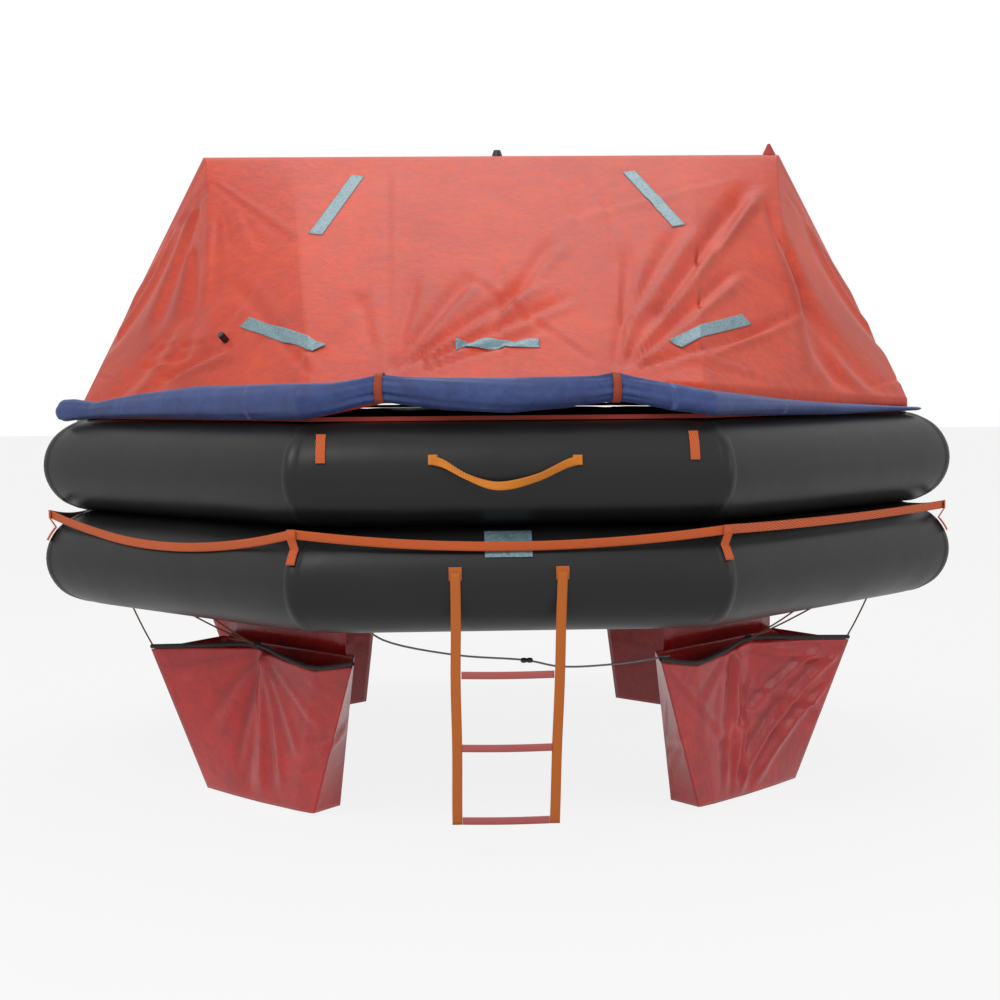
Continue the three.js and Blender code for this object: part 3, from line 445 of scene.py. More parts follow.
def cloth_waves(x, z, seed, count, height):
    """Shallow random pulls that fan from the hem's corners and the two ties."""
    draw = np.random.default_rng(seed)
    roots = np.array([[-0.35, 0.72], [0.295, 0.71], [-0.95, 0.68], [0.98, 0.68], [-0.95, 1.42], [0.95, 1.42]])
    total = np.zeros_like(x)
    for _ in range(count):
        root = roots[draw.integers(len(roots))] + draw.normal(0, 0.02, 2)
        angle = draw.uniform(0.15, math.pi - 0.15) * (1 if root[1] < 1 else -1)
        start, end = draw.uniform(0.02, 0.35), draw.uniform(0.4, 0.9)
        ray = np.array([math.cos(angle), 0.5 * math.sin(angle)])
        ends = (*(root + start * ray), *(root + end * ray))
        total += pull(x, z, ends, draw.uniform(0.012, 0.03), height * draw.uniform(-0.6, 1.0))
    return total


def front_relief(x, z):
    total = sum(pull(x, z, *fold) for fold in FRONT_PULLS)
    seams = np.zeros_like(x)
    for x0, z0, x1, z1 in ((-0.366, 1.467, -0.336, 0.731), (0.420, 1.462, 0.301, 0.725),
                           (-0.001, 1.058, -0.021, 0.728)):
        line = x1 + (x0 - x1) * (z - z1) / (z0 - z1)
        inside = np.clip((z0 + 0.03 - z) / 0.03, 0, 1)
        seams += inside * (0.0022 * np.exp(-((x - line) / 0.010) ** 4)
                           - 0.0035 * np.exp(-((x - line - 0.016) / 0.006) ** 2))
    return total + cloth_waves(x, z, 5, 26, 0.006) + seams


def rear_relief(x, z):
    mirrored = sum(pull(-x, z, ends, width, 0.8 * height) for ends, width, height in FRONT_PULLS[6:16])
    return mirrored + cloth_waves(x, z, 8, 60, 0.010)


def relief(points, turn, up):
    """How far the cloth stands out; it lies still at the hem, at the arch and at its feet."""
    x, z = points[..., 0], points[..., 2]
    depth = np.where(points[..., 1] < 0, front_relief(x, z), rear_relief(x, z))
    calm = np.clip(up / 0.06, 0, 1) * np.clip((0.97 - up) / 0.10, 0, 1)
    feet = np.clip((FOOT_TURN - 0.1 - np.abs(turn)) / 0.5, 0, 1)
    leg = np.clip((np.abs(turn) - 1.6) / 0.8, 0, 1)
    steep = 0.006 * leg * np.sin(17 * up + 9 * np.abs(turn) + 2.1 * np.sin(5 * np.abs(turn) + 7 * up))
    return calm * feet * (depth + steep)


# The canopy's fold valleys are darkened a little towards a deep orange as painted shade.
CANOPY_ORANGE = coated_cloth("polyurethane_nylon_orange", "#E44A22", "#C4361E", 0.55, coat=0.03)

CLOTH_THICK = 0.0015
BREAKS = [-3, -1.8, -1, -0.63, 0.63, 1, 1.8, 3]  # turns where the hem changes, kept as mesh lines

turns = np.unique(np.concatenate([np.linspace(-FOOT_TURN, FOOT_TURN, 331), BREAKS]))
ups = np.concatenate([[-1.0, -0.5], np.linspace(0, 1, 72), np.linspace(1, 2, 9)[1:]])
turn_grid, up_grid = np.meshgrid(turns, ups, indexing="ij")
half = canopy_half(turn_grid, up_grid)
whole, lifts = [], []
for rear in (False, True):
    points = half * ([1, -1, 1] if rear else [1, 1, 1])
    lift = relief(points, turn_grid, up_grid)
    normal = grid_normals(points) * (1 if rear else -1)
    whole.append(points + normal * lift[..., None])
    lifts.append(lift)
crest = 0.5 * (whole[0][:, -1:] + whole[1][:, -1:])
cloth = np.concatenate([whole[0][:, :-1], crest, whole[1][:, -2::-1]], 1)
# The depth of the fold valleys, which the orange cloth darkens as painted shade.
hollow = np.clip(-np.concatenate([lifts[0], lifts[1][:, -2::-1]], 1) / 0.008, 0, 1)
canopy = grid_piece("canopy_cloth", cloth, CANOPY_ORANGE, crease=hollow, flip=True)
thickened(canopy, CLOTH_THICK)
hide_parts("canopy")


# ---- Floats: two stacked inflated tubes of black rubber-coated fabric, each of eight cut panels.
# The panels meet in glued, taped mitres, where the skin draws in and puckers a little.
def float_skin(name, light, dark):
    """Rubber-coated fabric: satin black, dusty in patches, with a faint cloth grain about 8 mm coarse."""
    material, tree, place, surface = new_material(name)
    cloud = node(tree, "ShaderNodeTexNoise", {"Vector": place, "Scale": 3.5, "Detail": 6.0, "Roughness": 0.6})
    grain = noise(tree, place, 130.0, 4.0)
    ripple = noise(tree, place, 9.0, 3.0)
    mixed = blend(tree, cloud.outputs[0], linear(dark), linear(light))
    rough = spread(tree, cloud.outputs[0], 0.30, 0.52)
    fine = bumps(tree, 0.12, 0.0006, grain.outputs[0])
    soft = node(tree, "ShaderNodeBump", {"Strength": 0.25, "Distance": 0.006, "Height": ripple.outputs[0],
                                         "Normal": fine.outputs[0]})
    plug(tree, surface, {"Base Color": mixed.outputs[2], "Roughness": rough.outputs[0],
                         "Normal": soft.outputs[0]})
    surface.inputs["Specular IOR Level"].default_value = 0.35
    return material


FLOAT_BLACK = float_skin("rubber_coated_fabric_black", "#1E1D1D", "#0C0C0D")
MITRE_GAPS = np.array([0, 0.010, 0.0195, 0.0215, 0.024, 0.030, 0.045, 0.065,  # metres from the mitre
                       0.09, 0.13, 0.19, 0.27, 0.37, 0.46])
SEAM_TAPE, MITRE_DRAW, PUCKER = 0.0012, 0.0045, 0.0030
HALF_SIDE_M = TUBE_LINE * math.tan(math.pi / 8)
parts = 1 - MITRE_GAPS / HALF_SIDE_M
side_parts = np.concatenate([-parts, [0.0], parts[:0:-1]])
round_turns = np.concatenate([2 * side + side_parts for side in range(8)])
around = np.linspace(0, 2 * np.pi, 56, endpoint=False)

for name, z in (("lower", LOWER_Z), ("upper", UPPER_Z)):
    turn_g, angle_g = np.meshgrid(round_turns, around, indexing="ij")
    part = turn_g - 2 * np.floor((turn_g + 1) / 2)
    gap = (1 - np.abs(part)) * HALF_SIDE_M
    inner = 0.5 - 0.5 * np.cos(angle_g)
    radius = (TUBE_R - SEAM_TAPE
              - MITRE_DRAW * np.exp(-(gap / 0.06) ** 2) * (0.4 + inner)
              + SEAM_TAPE / (1 + np.exp((gap - 0.0205) / 0.0006))
              + PUCKER * np.exp(-(gap / 0.10) ** 2) * inner * np.cos(9 * angle_g + 2.0 * np.floor(turn_g))
              + 0.0010 * np.sin(2 * angle_g + 1.3 * turn_g))
    points = octagon(turn_g, TUBE_LINE + radius * np.cos(angle_g), z + radius * np.sin(angle_g))
    crease = np.exp(-((gap - 0.023) / 0.004) ** 2)
    tube = grid_piece(f"float_skin_{name}", points, FLOAT_BLACK, ring=True, closed=True,
                      crease=crease)
    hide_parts(f"{name}_tube")


# ---- Reflective tapes: five strips of bead-filled retroreflective film stuck to the canopy, and a
# short one round the lower float. Grey-blue to the eye, with a honeycomb of sealed cells.
def reflective_film(name):
    """Retroreflective film: cool grey, satin, in cells; real cells are 4 mm, drawn here at 12 mm."""
    material, tree, place, surface = new_material(name)
    cells = node(tree, "ShaderNodeTexVoronoi", {"Vector": place, "Scale": 85.0}, feature="DISTANCE_TO_EDGE")
    edge = node(tree, "ShaderNodeMapRange", {0: cells.outputs["Distance"], 1: 0.0, 2: 0.12})
    cloud = noise(tree, place, 30.0, 3.0)
    tone = blend(tree, cloud.outputs[0], linear("#6E8E99"), linear("#93AFB6"))
    mixed = blend(tree, edge.outputs[0], linear("#5E7C86"), tone.outputs[2])
    bump = bumps(tree, 0.2, 0.0004, edge.outputs[0])
    plug(tree, surface, {"Base Color": mixed.outputs[2], "Normal": bump.outputs[0]})
    surface.inputs["Roughness"].default_value = 0.45
    surface.inputs["Metallic"].default_value = 0.2
    return material


REFLECTIVE = reflective_film("retroreflective_film_grey")
TAPE_WIDTH, TAPE_THICK, TAPE_LIFT = 0.046, 0.0008, 0.0032
TAPE_ROWS, TAPE_COLUMNS = 61, 13
TAPES = {
    "upper_left": [[-0.925, 0.62], [-0.745, 0.91]],
    "upper_right": [[0.745, 0.925], [0.927, 0.65]],
    "lower_left": [[-1.49, 0.268], [-0.93, 0.139]],
    "lower_middle": [[-0.257, 0.146], [0.178, 0.146]],
    "lower_right": [[0.86, 0.143], [1.4, 0.26]],
}


def tree_of(piece):
    """The piece's surface, to lay things on."""
    mesh = piece.data
    return BVHTree.FromPolygons([v.co for v in mesh.vertices], [tuple(p.vertices) for p in mesh.polygons])


def height_over(surface, point, outward):
    """How far the surface lies outward of a point."""
    hit, _, _, _ = surface.ray_cast(Vector(point) + Vector(outward) * 0.3, -Vector(outward), 0.6)
    return (hit - Vector(point)).dot(Vector(outward)) if hit is not None else 0.0


def half_point(turn, up):
    return canopy_half(np.array([float(turn)]), np.array([float(up)]))[0]


cloth_tree = tree_of(canopy)
for name, (start, end) in TAPES.items():
    a, b = half_point(*start), half_point(*end)
    middle = (np.array(start) + np.array(end)) / 2
    across = half_point(middle[0] + 0.05, middle[1]) - half_point(middle[0] - 0.05, middle[1])
    upward = half_point(middle[0], middle[1] + 0.05) - half_point(middle[0], middle[1] - 0.05)
    normal = np.cross(across, upward)
    normal /= np.linalg.norm(normal)
    along = (b - a) / np.linalg.norm(b - a)
    side = np.cross(normal, along)
    flat = np.array([[a + (b - a) * t + side * TAPE_WIDTH * w for w in np.linspace(-0.5, 0.5, TAPE_COLUMNS)]
                     for t in np.linspace(0, 1, TAPE_ROWS)])
    height = np.array([[height_over(cloth_tree, p, normal) for p in row] for row in flat])
    wide = np.pad(height, 1, mode="edge")
    height = np.max([wide[i:i + TAPE_ROWS, j:j + TAPE_COLUMNS] for i in range(3) for j in range(3)], axis=0)
    rows = flat + normal * (height + TAPE_LIFT)[..., None]
    strip = grid_piece(f"canopy_tape_{name}", rows, REFLECTIVE, flip=True)
    thickened(strip, TAPE_THICK, 0.0)
    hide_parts(f"tape_{name}")


# ---- Curtain rolls: the entrance curtains of blue coated nylon, rolled up outside the canopy's foot
# and held by two orange webbing ties. The roll is slack, so the cloth gathers towards each tie.
CURTAIN_BLUE = coated_cloth("coated_nylon_blue", "#3F5590", "#27356A", 0.55, coat=0.0, crease_shade=0.6)
TIE_ORANGE = braided("tie_webbing_orange", "#C9542A", "#8E3518")
ROLL = np.array([  # turn, bottom, top, half depth, set out; heights in mm over the float
    [-3, -12, 64, 28, 34], [-2.93, -8, 66, 30, 26], [-2.75, 0, 56, 30, 12], [-2.3, 2, 84, 34, 5],
    [-1.83, 2, 106, 36, 2], [-1.4, 2, 112, 36, 0], [-1, 6, 115, 36, 0], [-0.85, 22, 116, 33, 0],
    [-0.72, 44, 126, 26, 3.2], [-0.63, 54, 136, 20, 3.2], [-0.54, 46, 130, 26, 3.2],
    [-0.3, 26, 126, 34, 0], [0, 16, 122, 36, 0], [0.25, 26, 122, 34, 0],
    [0.44, 42, 122, 26, 3.2], [0.53, 50, 130, 20, 3.2], [0.62, 42, 118, 26, 3.2],
    [0.8, 18, 100, 32, 0], [1, 4, 78, 32, 0], [1.6, 0, 52, 30, 0], [2.2, -2, 34, 26, 2],
    [2.81, 1, 18, 22, 6], [3, 1, 14, 18, 8]])
ROLL_FOLD = 0.09  # height of the folds, as a share of the half depth
TIE_TURNS = {"left": -0.63, "right": 0.53}


def roll_section(turn, grow, angle, folds=1.0):
    """Points round the roll; grow is how far outside its skin."""
    bottom, top, half, out = [np.interp(turn, ROLL[:, 0], ROLL[:, k]) / 1000 for k in (1, 2, 3, 4)]
    near = np.exp(-(np.abs(np.abs(turn + 0.05) - 0.58) / 0.12) ** 2)
    slack = 0.5 + 0.5 * np.sin(5.1 * turn + 2 * np.sin(2.3 * turn))
    wave = (np.cos(3 * angle + 1.7 * np.sin(1.9 * turn)) * (0.25 + 0.5 * slack)
            + 0.6 * np.cos(7 * angle + 2.4 * np.sin(1.3 * turn + 1)) * (0.3 + near)
            + 0.45 * np.cos(11 * angle + 3.1 * np.sin(2.7 * turn)) * (0.2 + 1.3 * near))
    lap = 1.2 * np.exp(-((np.mod(angle - 2.6 + 0.35 * np.sin(1.7 * turn), 2 * np.pi) - 0.35) / 0.22) ** 2)
    fold = folds * (wave - 0.9 + lap)
    wide, tall = half + grow + ROLL_FOLD * half * fold, (top - bottom) / 2 + grow
    tall = tall + ROLL_FOLD * tall * fold
    apothem = CANOPY_EDGE + TOUCH + out + half + wide * np.cos(angle)
    return octagon(turn, np.maximum(apothem, CANOPY_EDGE + 0.003),
                   UPPER_TOP + (top + bottom) / 2 + tall * np.sin(angle))


roll_turns = np.unique(np.concatenate([np.linspace(-3, 3, 331), ROLL[:, 0], [-1, 1]]))
roll_angles = np.linspace(0, 2 * np.pi, 64, endpoint=False)
turn_g, angle_g = np.meshgrid(roll_turns, roll_angles, indexing="ij")
roll_points = roll_section(turn_g, 0.0, angle_g)
tie_angles = np.linspace(0, 2 * np.pi, 40, endpoint=False)
for end, y in (("front", 1), ("rear", -1)):
    roll = grid_piece(f"curtain_cloth_{end}", roll_points * [1, y, 1], CURTAIN_BLUE,
                      ring=True, caps=True, flip=y < 0)
    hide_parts(f"curtain_roll_{end}")
    for side, turn in TIE_TURNS.items():
        half = 0.011 / (CANOPY_EDGE * math.tan(math.pi / 8))
        loops = []
        for grow, shift in ((0.0032, -half), (0.0032, half), (0.0012, half), (0.0012, -half)):
            t = np.full_like(tie_angles, turn + shift)
            loops.append(roll_section(t, grow, tie_angles, 0.3) * [1, y, 1])
        tie = grid_piece(f"curtain_tie_web_{end}_{side}", np.array(loops), TIE_ORANGE,
                         ring=True, closed=True, flip=y < 0)
        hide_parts(f"curtain_tie_{end}_{side}")


# ---- Ballast bags: open pockets of thin glossy red nylon that fill with sea water and hold the raft
# down. Each hangs from a panel glued under the floor, with a weighted black hem along its mouth.
# The bags' fold valleys are darkened halfway towards a deep red as painted shade.
BAG_RED = coated_cloth("thin_coated_nylon_red", "#DE2E26", "#BA1C22", 0.32, blotch=6.0, coat=0.25, crease_shade=0.5)
HEM_BLACK = braided("weighted_hem_black", "#2A2624", "#100E0E")
THIN_TIE = braided("thin_tie_cord", "#8A5A3C", "#5E3A26")
BAG_DEPTH, BAG_WALL, FLOOR_STEP = 0.612, 0.003, 0.006
BAG_MOUTH = np.array([
    [75, 360, -146], [143, 175, -132], [213, -8, -122], [203, -160, -146], [201, -300, -162],
    [219, -455, -134], [340, -330, -128], [340, 0, -128], [340, 320, -128]]) / 1000
BAG_FLOOR = np.array([
    [219, 268, 0], [221, 130, -4], [224, -5, -6], [223, -90, -4], [221, -180, -2],
    [225, -258, 0], [340, -252, 4], [340, 0, 4], [340, 262, 4]]) / 1000
BAG_CORNERS = (0, 5, 6, 8)
HEM_R, TIE_R, TIE_SAG = 0.0068, 0.0025, 0.004
KNOT = [(0.004, -0.016), (0.010, -0.011), (0.012, 0.0), (0.010, 0.011), (0.004, 0.016)]
PANEL_INSIDE, PANEL_HALF, PANEL_THICK = 0.3385, 0.29, 0.0025
PANEL_LEVELS = (FLOOR_STEP - 0.0004, -0.04, -0.09, -0.132)


def bag_place(inside, along, z):
    apothem = TUBE_LINE - inside
    return np.stack([(apothem + along) * math.sqrt(0.5), (along - apothem) * math.sqrt(0.5), z], -1)


def round_outline(outline, count=14):
    """Points along a closed outline, evenly spread between its corners."""
    stops = np.vstack([outline, outline[:1]])
    t = np.concatenate([np.linspace(k, k + 1, count, endpoint=False) for k in range(len(outline))])
    return np.stack([np.interp(t, range(len(stops)), stops[:, k]) for k in range(3)], -1), t


# Folds of a bag's outer face: from [along share, height share] to the same, half width, height.
FAN_FOLDS = [((0.46, 1.0, 0.40, 0.05), 0.030, 0.012), ((0.47, 1.0, 0.20, 0.45), 0.020, 0.007),
             ((0.45, 1.0, 0.62, 0.15), 0.022, 0.008), ((0.48, 0.98, 0.08, 0.80), 0.018, 0.007),
             ((0.44, 1.0, 0.75, 0.40), 0.016, 0.006), ((0.47, 1.0, 0.30, 0.20), 0.014, 0.006),
             ((0.46, 0.99, 0.88, 0.62), 0.014, 0.005)]
DIAGONAL_FOLDS = [((0.98, 0.92, 0.52, 0.04), 0.022, 0.015), ((0.99, 0.70, 0.66, 0.06), 0.018, 0.013),
                  ((0.90, 0.96, 0.44, 0.30), 0.018, 0.011), ((0.50, 1.0, 0.46, 0.05), 0.022, 0.012),
                  ((0.55, 0.99, 0.98, 0.86), 0.020, 0.010), ((0.50, 0.98, 0.36, 0.10), 0.020, 0.010),
                  ((0.60, 0.80, 0.55, 0.10), 0.014, 0.009), ((0.45, 1.0, 0.20, 0.70), 0.020, 0.006)]


def bag_relief(share, height, folds, seed):
    """Folds over the bag's sides; share runs 0 to 1 along the outer face from its left end."""
    total = np.zeros_like(share)
    draw = np.random.default_rng(seed)
    extra = [((draw.uniform(0, 1.9), draw.uniform(0.5, 1), draw.uniform(0, 1.9), draw.uniform(0, 0.5)),
              0.018, draw.uniform(-0.003, 0.005)) for _ in range(14)]
    for (u0, v0, u1, v1), width, rise in folds + extra:
        run = np.array([(u1 - u0) * 0.65, (v1 - v0) * 0.6])
        long = float(np.hypot(*run))
        px, pz = (share - u0) * 0.65, (height - v0) * 0.6
        t = (px * run[0] + pz * run[1]) / long ** 2
        off = (px * run[1] - pz * run[0]) / long
        grow = width * (0.5 + 0.8 * np.clip(t, 0, 1))
        fade = np.clip((t + 0.02) / 0.1, 0, 1) * np.clip((1.05 - t) / 0.2, 0, 1)
        total += rise * fade * (np.exp(-(off / grow) ** 2) - 0.5 * np.exp(-((off - 1.6 * grow) / grow) ** 2))
    return total


def ballast_bag(name, x, y, folds, seed, mirrored_share):
    """One bag: folded sides and floor, hem rope and knot, three thin ties, and the panel it hangs from."""
    heights = np.linspace(0, 1, 44)
    mouth, t = round_outline(BAG_MOUTH)
    bottom, _ = round_outline(BAG_FLOOR - [0, 0, BAG_DEPTH])
    outer = bottom[None] + (mouth - bottom)[None] * heights[:, None, None]
    share = np.where(t <= 5, t / 5, 1 + (t - 5) / 4)[None].repeat(len(heights), 0)
    seen = 1 - share if mirrored_share else share
    level = heights[:, None].repeat(len(t), 1)
    places = bag_place(outer[..., 0], outer[..., 1], outer[..., 2])
    lift = bag_relief(np.where(share <= 1, seen, share), level, folds, seed)
    corner = np.min([np.abs(t - c) for c in (*BAG_CORNERS, 9)], axis=0)
    calm = np.clip(corner / 0.25, 0.1, 1)[None] * np.clip((1 - level) / 0.06, 0, 1)
    calm = calm * np.clip(level / 0.05, 0.2, 1) * np.where(t > 6, 0.25, 1)[None]
    normal = grid_normals(places, ring=True)
    centre = places.mean(axis=1, keepdims=True)
    normal *= np.sign(((places - centre) * normal).sum(-1, keepdims=True).mean())
    shell = places + normal * (lift * calm - 0.002)[..., None]
    shares = np.array([1.0, 0.75, 0.5, 0.25])[:, None, None]
    floor_rows = shell[0][None] + (shell[0].mean(0) - shell[0])[None] * shares
    sag = -0.004 * np.array([1.0, 0.9, 0.6, 0.25])
    floor_rows = floor_rows + np.stack([0 * sag, 0 * sag, sag], -1)[:, None, :]
    grid = np.concatenate([floor_rows, shell], 0) * [x, y, 1]
    # The depth of the fold valleys, which the red cloth darkens as painted shade.
    hollow = np.clip(-np.concatenate([np.zeros((4, len(t))), lift * calm]) / 0.006, 0, 1)
    bag = grid_piece(f"ballast_bag_cloth_{name}", grid, BAG_RED, ring=True, crease=hollow,
                     flip=x * y > 0)
    thickened(bag, CLOTH_THICK)
    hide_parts(f"ballast_bag_{name}")
    edge = [(*BAG_MOUTH[k] * 1000,) for k in range(6)]
    hem = [bag_place(i / 1000 + BAG_WALL / 2, s / 1000, z / 1000 + 0.009) * [x, y, 1] for i, s, z in edge]
    rope = round_cord(f"bag_hem_rope_{name}", smooth_route(hem, 8), HEM_R, HEM_BLACK)
    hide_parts(f"bag_hem_{name}")
    knot, outer_corner, second = hem[2], hem[0], hem[1]
    hook = outer_corner + (second - outer_corner) * 0.04
    feet = [bag_place(0.015, s, -0.0028) * [x, y, 1] for s in (-0.05, 0.05)]
    top = bag_place(0.005, BAG_MOUTH[0][1] - 0.008, -0.0028) * [x, y, 1]
    for tag, (a, b) in {"a": (feet[0], knot), "b": (feet[1], knot), "c": (top, hook)}.items():
        line = np.array([a + (b - a) * u + [0, 0, -TIE_SAG * math.sin(math.pi * u)]
                         for u in np.linspace(0, 1, 9)])
        round_cord(f"bag_tie_{name}_{tag}", line, TIE_R, THIN_TIE)
    turned(f"bag_knot_{name}", KNOT, tuple(knot), tuple(second - knot), HEM_BLACK, sides=20)
    panel_places = np.linspace(-PANEL_HALF, PANEL_HALF, 13)
    rows = [[bag_place(PANEL_INSIDE, s, z) * [x, y, 1] for s in panel_places] for z in PANEL_LEVELS]
    panel = grid_piece(f"bag_panel_{name}", np.array(rows), BAG_RED, flip=x * y < 0)
    thickened(panel, PANEL_THICK, 0.0)


ballast_bag("front_right", 1, 1, DIAGONAL_FOLDS, 3, True)
ballast_bag("front_left", -1, 1, FAN_FOLDS, 4, False)
ballast_bag("rear_right", 1, -1, FAN_FOLDS, 6, True)
ballast_bag("rear_left", -1, -1, DIAGONAL_FOLDS, 7, False)


# ---- Lifelines: orange polyester webbing. The outer one hangs in loops from stitched straps at the
# corners and mid sides of the lower float; the inner one runs round the cabin on the upper float.
LIFELINE_ORANGE = braided("lifeline_webbing_orange", "#F0702C", "#B4481C", 0.7)
LINE_SAGS = (40, 8, 40, 40, 40, 40, 40, 66)  # mm, from the front side round to the right
LINE_TOP, LINE_OUT, LINE_HEIGHT, LINE_THICK = 0.294, 1.455, 0.026, 0.0036
INNER_LINE_OUT, INNER_LINE_Z = 1.1763, 0.4953
TUBE_SKIN = TUBE_R + 0.0037


def web(name, middle, across, face, width, thick, material, body="raft", closed=False):
    """Flat webbing along a line of middles, with its width and face directions at each."""
    edge = [(-0.5, -0.35), (-0.3, -0.5), (0, -0.5), (0.3, -0.5), (0.5, -0.35),
            (0.5, 0.35), (0.3, 0.5), (0, 0.5), (-0.3, 0.5), (-0.5, 0.35)]
    rings = [middle + across * (w * width) + face * (t * thick) for w, t in edge]
    return grid_piece(name, np.stack(rings, 1), material, body, ring=True, closed=closed,
                      caps=not closed)


line_turns = np.arange(0, 16, 1 / 24)
line_part = line_turns - 2 * np.floor((line_turns + 1) / 2)
line_sag = np.array([LINE_SAGS[int(math.floor((t + 1) / 2)) % 8] for t in line_turns]) / 1000
line_z = LINE_TOP - line_sag * (1 - line_part ** 2)
line_skin = TUBE_LINE + np.sqrt(TUBE_SKIN ** 2 - (line_z - LINE_HEIGHT / 2 - LOWER_Z) ** 2)
line_out = np.maximum(LINE_OUT, line_skin + 0.002)
lean = 0.12 * np.sin(3.1 * line_turns) * (1 - line_part ** 2)
outward = octagon(line_turns, line_out + 1, line_z) - octagon(line_turns, line_out, line_z)
upright = np.stack([np.zeros_like(lean), np.zeros_like(lean), np.ones_like(lean)], -1)
line = web("outer_lifeline_web", octagon(line_turns, line_out, line_z), upright + outward * lean[:, None],
           outward, LINE_HEIGHT, LINE_THICK, LIFELINE_ORANGE, closed=True)
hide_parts("outer_lifeline")
for turn in range(1, 16, 2):
    stops = [(TUBE_LINE + (TUBE_SKIN + 0.0001) * math.cos(a), LOWER_Z + (TUBE_SKIN + 0.0001) * math.sin(a))
             for a in np.linspace(0.40, 0.72, 9)]
    stops += [(LINE_OUT + 0.0036, LINE_TOP - 0.012), (LINE_OUT + 0.0036, LINE_TOP + 0.013)]
    middle = np.array([octagon(np.array(float(turn)), a, z) for a, z in stops])
    steps = np.gradient(middle, axis=0)
    steps /= np.linalg.norm(steps, axis=1)[:, None]
    sideways = np.cross(octagon(np.array(float(turn)), 1.0, 0.0), [0, 0, 1])
    sideways = np.tile(sideways / np.linalg.norm(sideways), (len(middle), 1))
    web(f"lifeline_strap_{turn}", middle, sideways, np.cross(steps, sideways), LINE_HEIGHT, 0.0034,
        LIFELINE_ORANGE)

inner_turns = np.arange(0, 16, 1 / 16)
inner_z = np.full_like(inner_turns, INNER_LINE_Z) + 0.002 * np.sin(2.2 * inner_turns)
inner_route = octagon(inner_turns, INNER_LINE_OUT, inner_z)
inward = octagon(inner_turns, 2.0, 0.0) - octagon(inner_turns, 1.0, 0.0)
inner = web("inner_lifeline_web", inner_route, np.tile([0, 0, 1.0], (len(inner_z), 1)), inward,
            LINE_HEIGHT, 0.003, LIFELINE_ORANGE, closed=True)
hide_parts("inner_lifeline")


# ---- Grab handle: a bow of orange and yellow webbing, twisted by hand in use and sewn down at
# both ends to the upper float.
HANDLE_WEB = braided("handle_webbing_orange", "#F59A1E", "#D8701A", 0.65)
HANDLE_BACK = braided("handle_webbing_yellow", "#FFE000", "#D0A800", 0.65)
HANDLE_POINTS = [(-0.212, 0, 0.044), (-0.186, 0, 0.036), (-0.120, 0.020, 0.0), (-0.037, 0.028, -0.026),
                 (0.070, 0.020, -0.006), (0.158, 0, 0.032), (0.186, 0, 0.040)]
HANDLE_FACE = 1.478
HANDLE_WIDTH, HANDLE_THICK, PATCH_HALF, PATCH_THICK = 0.024, 0.0024, 0.013, 0.0075
route = smooth_route([(x, -HANDLE_FACE - off, UPPER_Z + z) for x, off, z in HANDLE_POINTS], 16)
route = np.array(route)
steps = np.gradient(route, axis=0)
steps /= np.linalg.norm(steps, axis=1)[:, None]
front = np.array([0, -1.0, 0])
flat_side = np.cross(steps, front)
flat_side /= np.linalg.norm(flat_side, axis=1)[:, None]
share = np.linspace(0, 1, len(route))
twist = 0.95 * np.sin(2 * np.pi * share) * np.sin(np.pi * share) + 0.25 * np.sin(np.pi * share)
square = np.cross(flat_side, steps)
across = flat_side * np.cos(twist)[:, None] + square * np.sin(twist)[:, None]
facing = square * np.cos(twist)[:, None] - flat_side * np.sin(twist)[:, None]
handle = web("grab_handle_web", route, across, facing, HANDLE_WIDTH, HANDLE_THICK, HANDLE_WEB)
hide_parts("grab_handle")
web("grab_handle_back", route - facing * 0.0021, across, facing, 0.019, 0.0016, HANDLE_BACK)
for k, tag in ((0, "left"), (-1, "right")):
    x, _, z = HANDLE_POINTS[k]
    rows = []
    for u in np.linspace(-PATCH_HALF, PATCH_HALF, 5):
        row = []
        for v in np.linspace(-PATCH_HALF, PATCH_HALF, 7):
            rise = z + v
            row.append([x + u, -(TUBE_LINE + math.sqrt((TUBE_R + 0.0002) ** 2 - rise ** 2)), UPPER_Z + z + v])
        rows.append(row)
    patch = grid_piece(f"handle_patch_{tag}", np.array(rows), HANDLE_WEB)
    thickened(patch, PATCH_THICK, 1.0)


# ---- Boarding ladder: two orange webbing straps that hang from sewn anchors, and three rungs of
# stiffened pink webbing sewn across. It swings on its anchors.
LADDER_ORANGE = braided("ladder_webbing_orange", "#EA802A", "#B45718", 0.7)
RUNG_PINK = braided("rung_webbing_faded_red", "#D7746F", "#B4524E", 0.7)
LADDER_Y, LADDER_TOP, LADDER_LOW = -1.4808, 0.187, -0.508
STRAP_TOP, STRAP_END, STRAP_WIDTH, STRAP_THICK = 0.185, -0.518, 0.028, 0.0046
RUNG_LEVELS, RUNG_HEIGHT, RUNG_THICK = (-0.100, -0.304, -0.508), 0.020, 0.0078
LADDER_X = {"left": (-0.154, -0.155), "right": (0.143, 0.116)}


def ladder_x(side, z):
    return np.interp(z, [LADDER_LOW, LADDER_TOP], [LADDER_X[side][1], LADDER_X[side][0]])


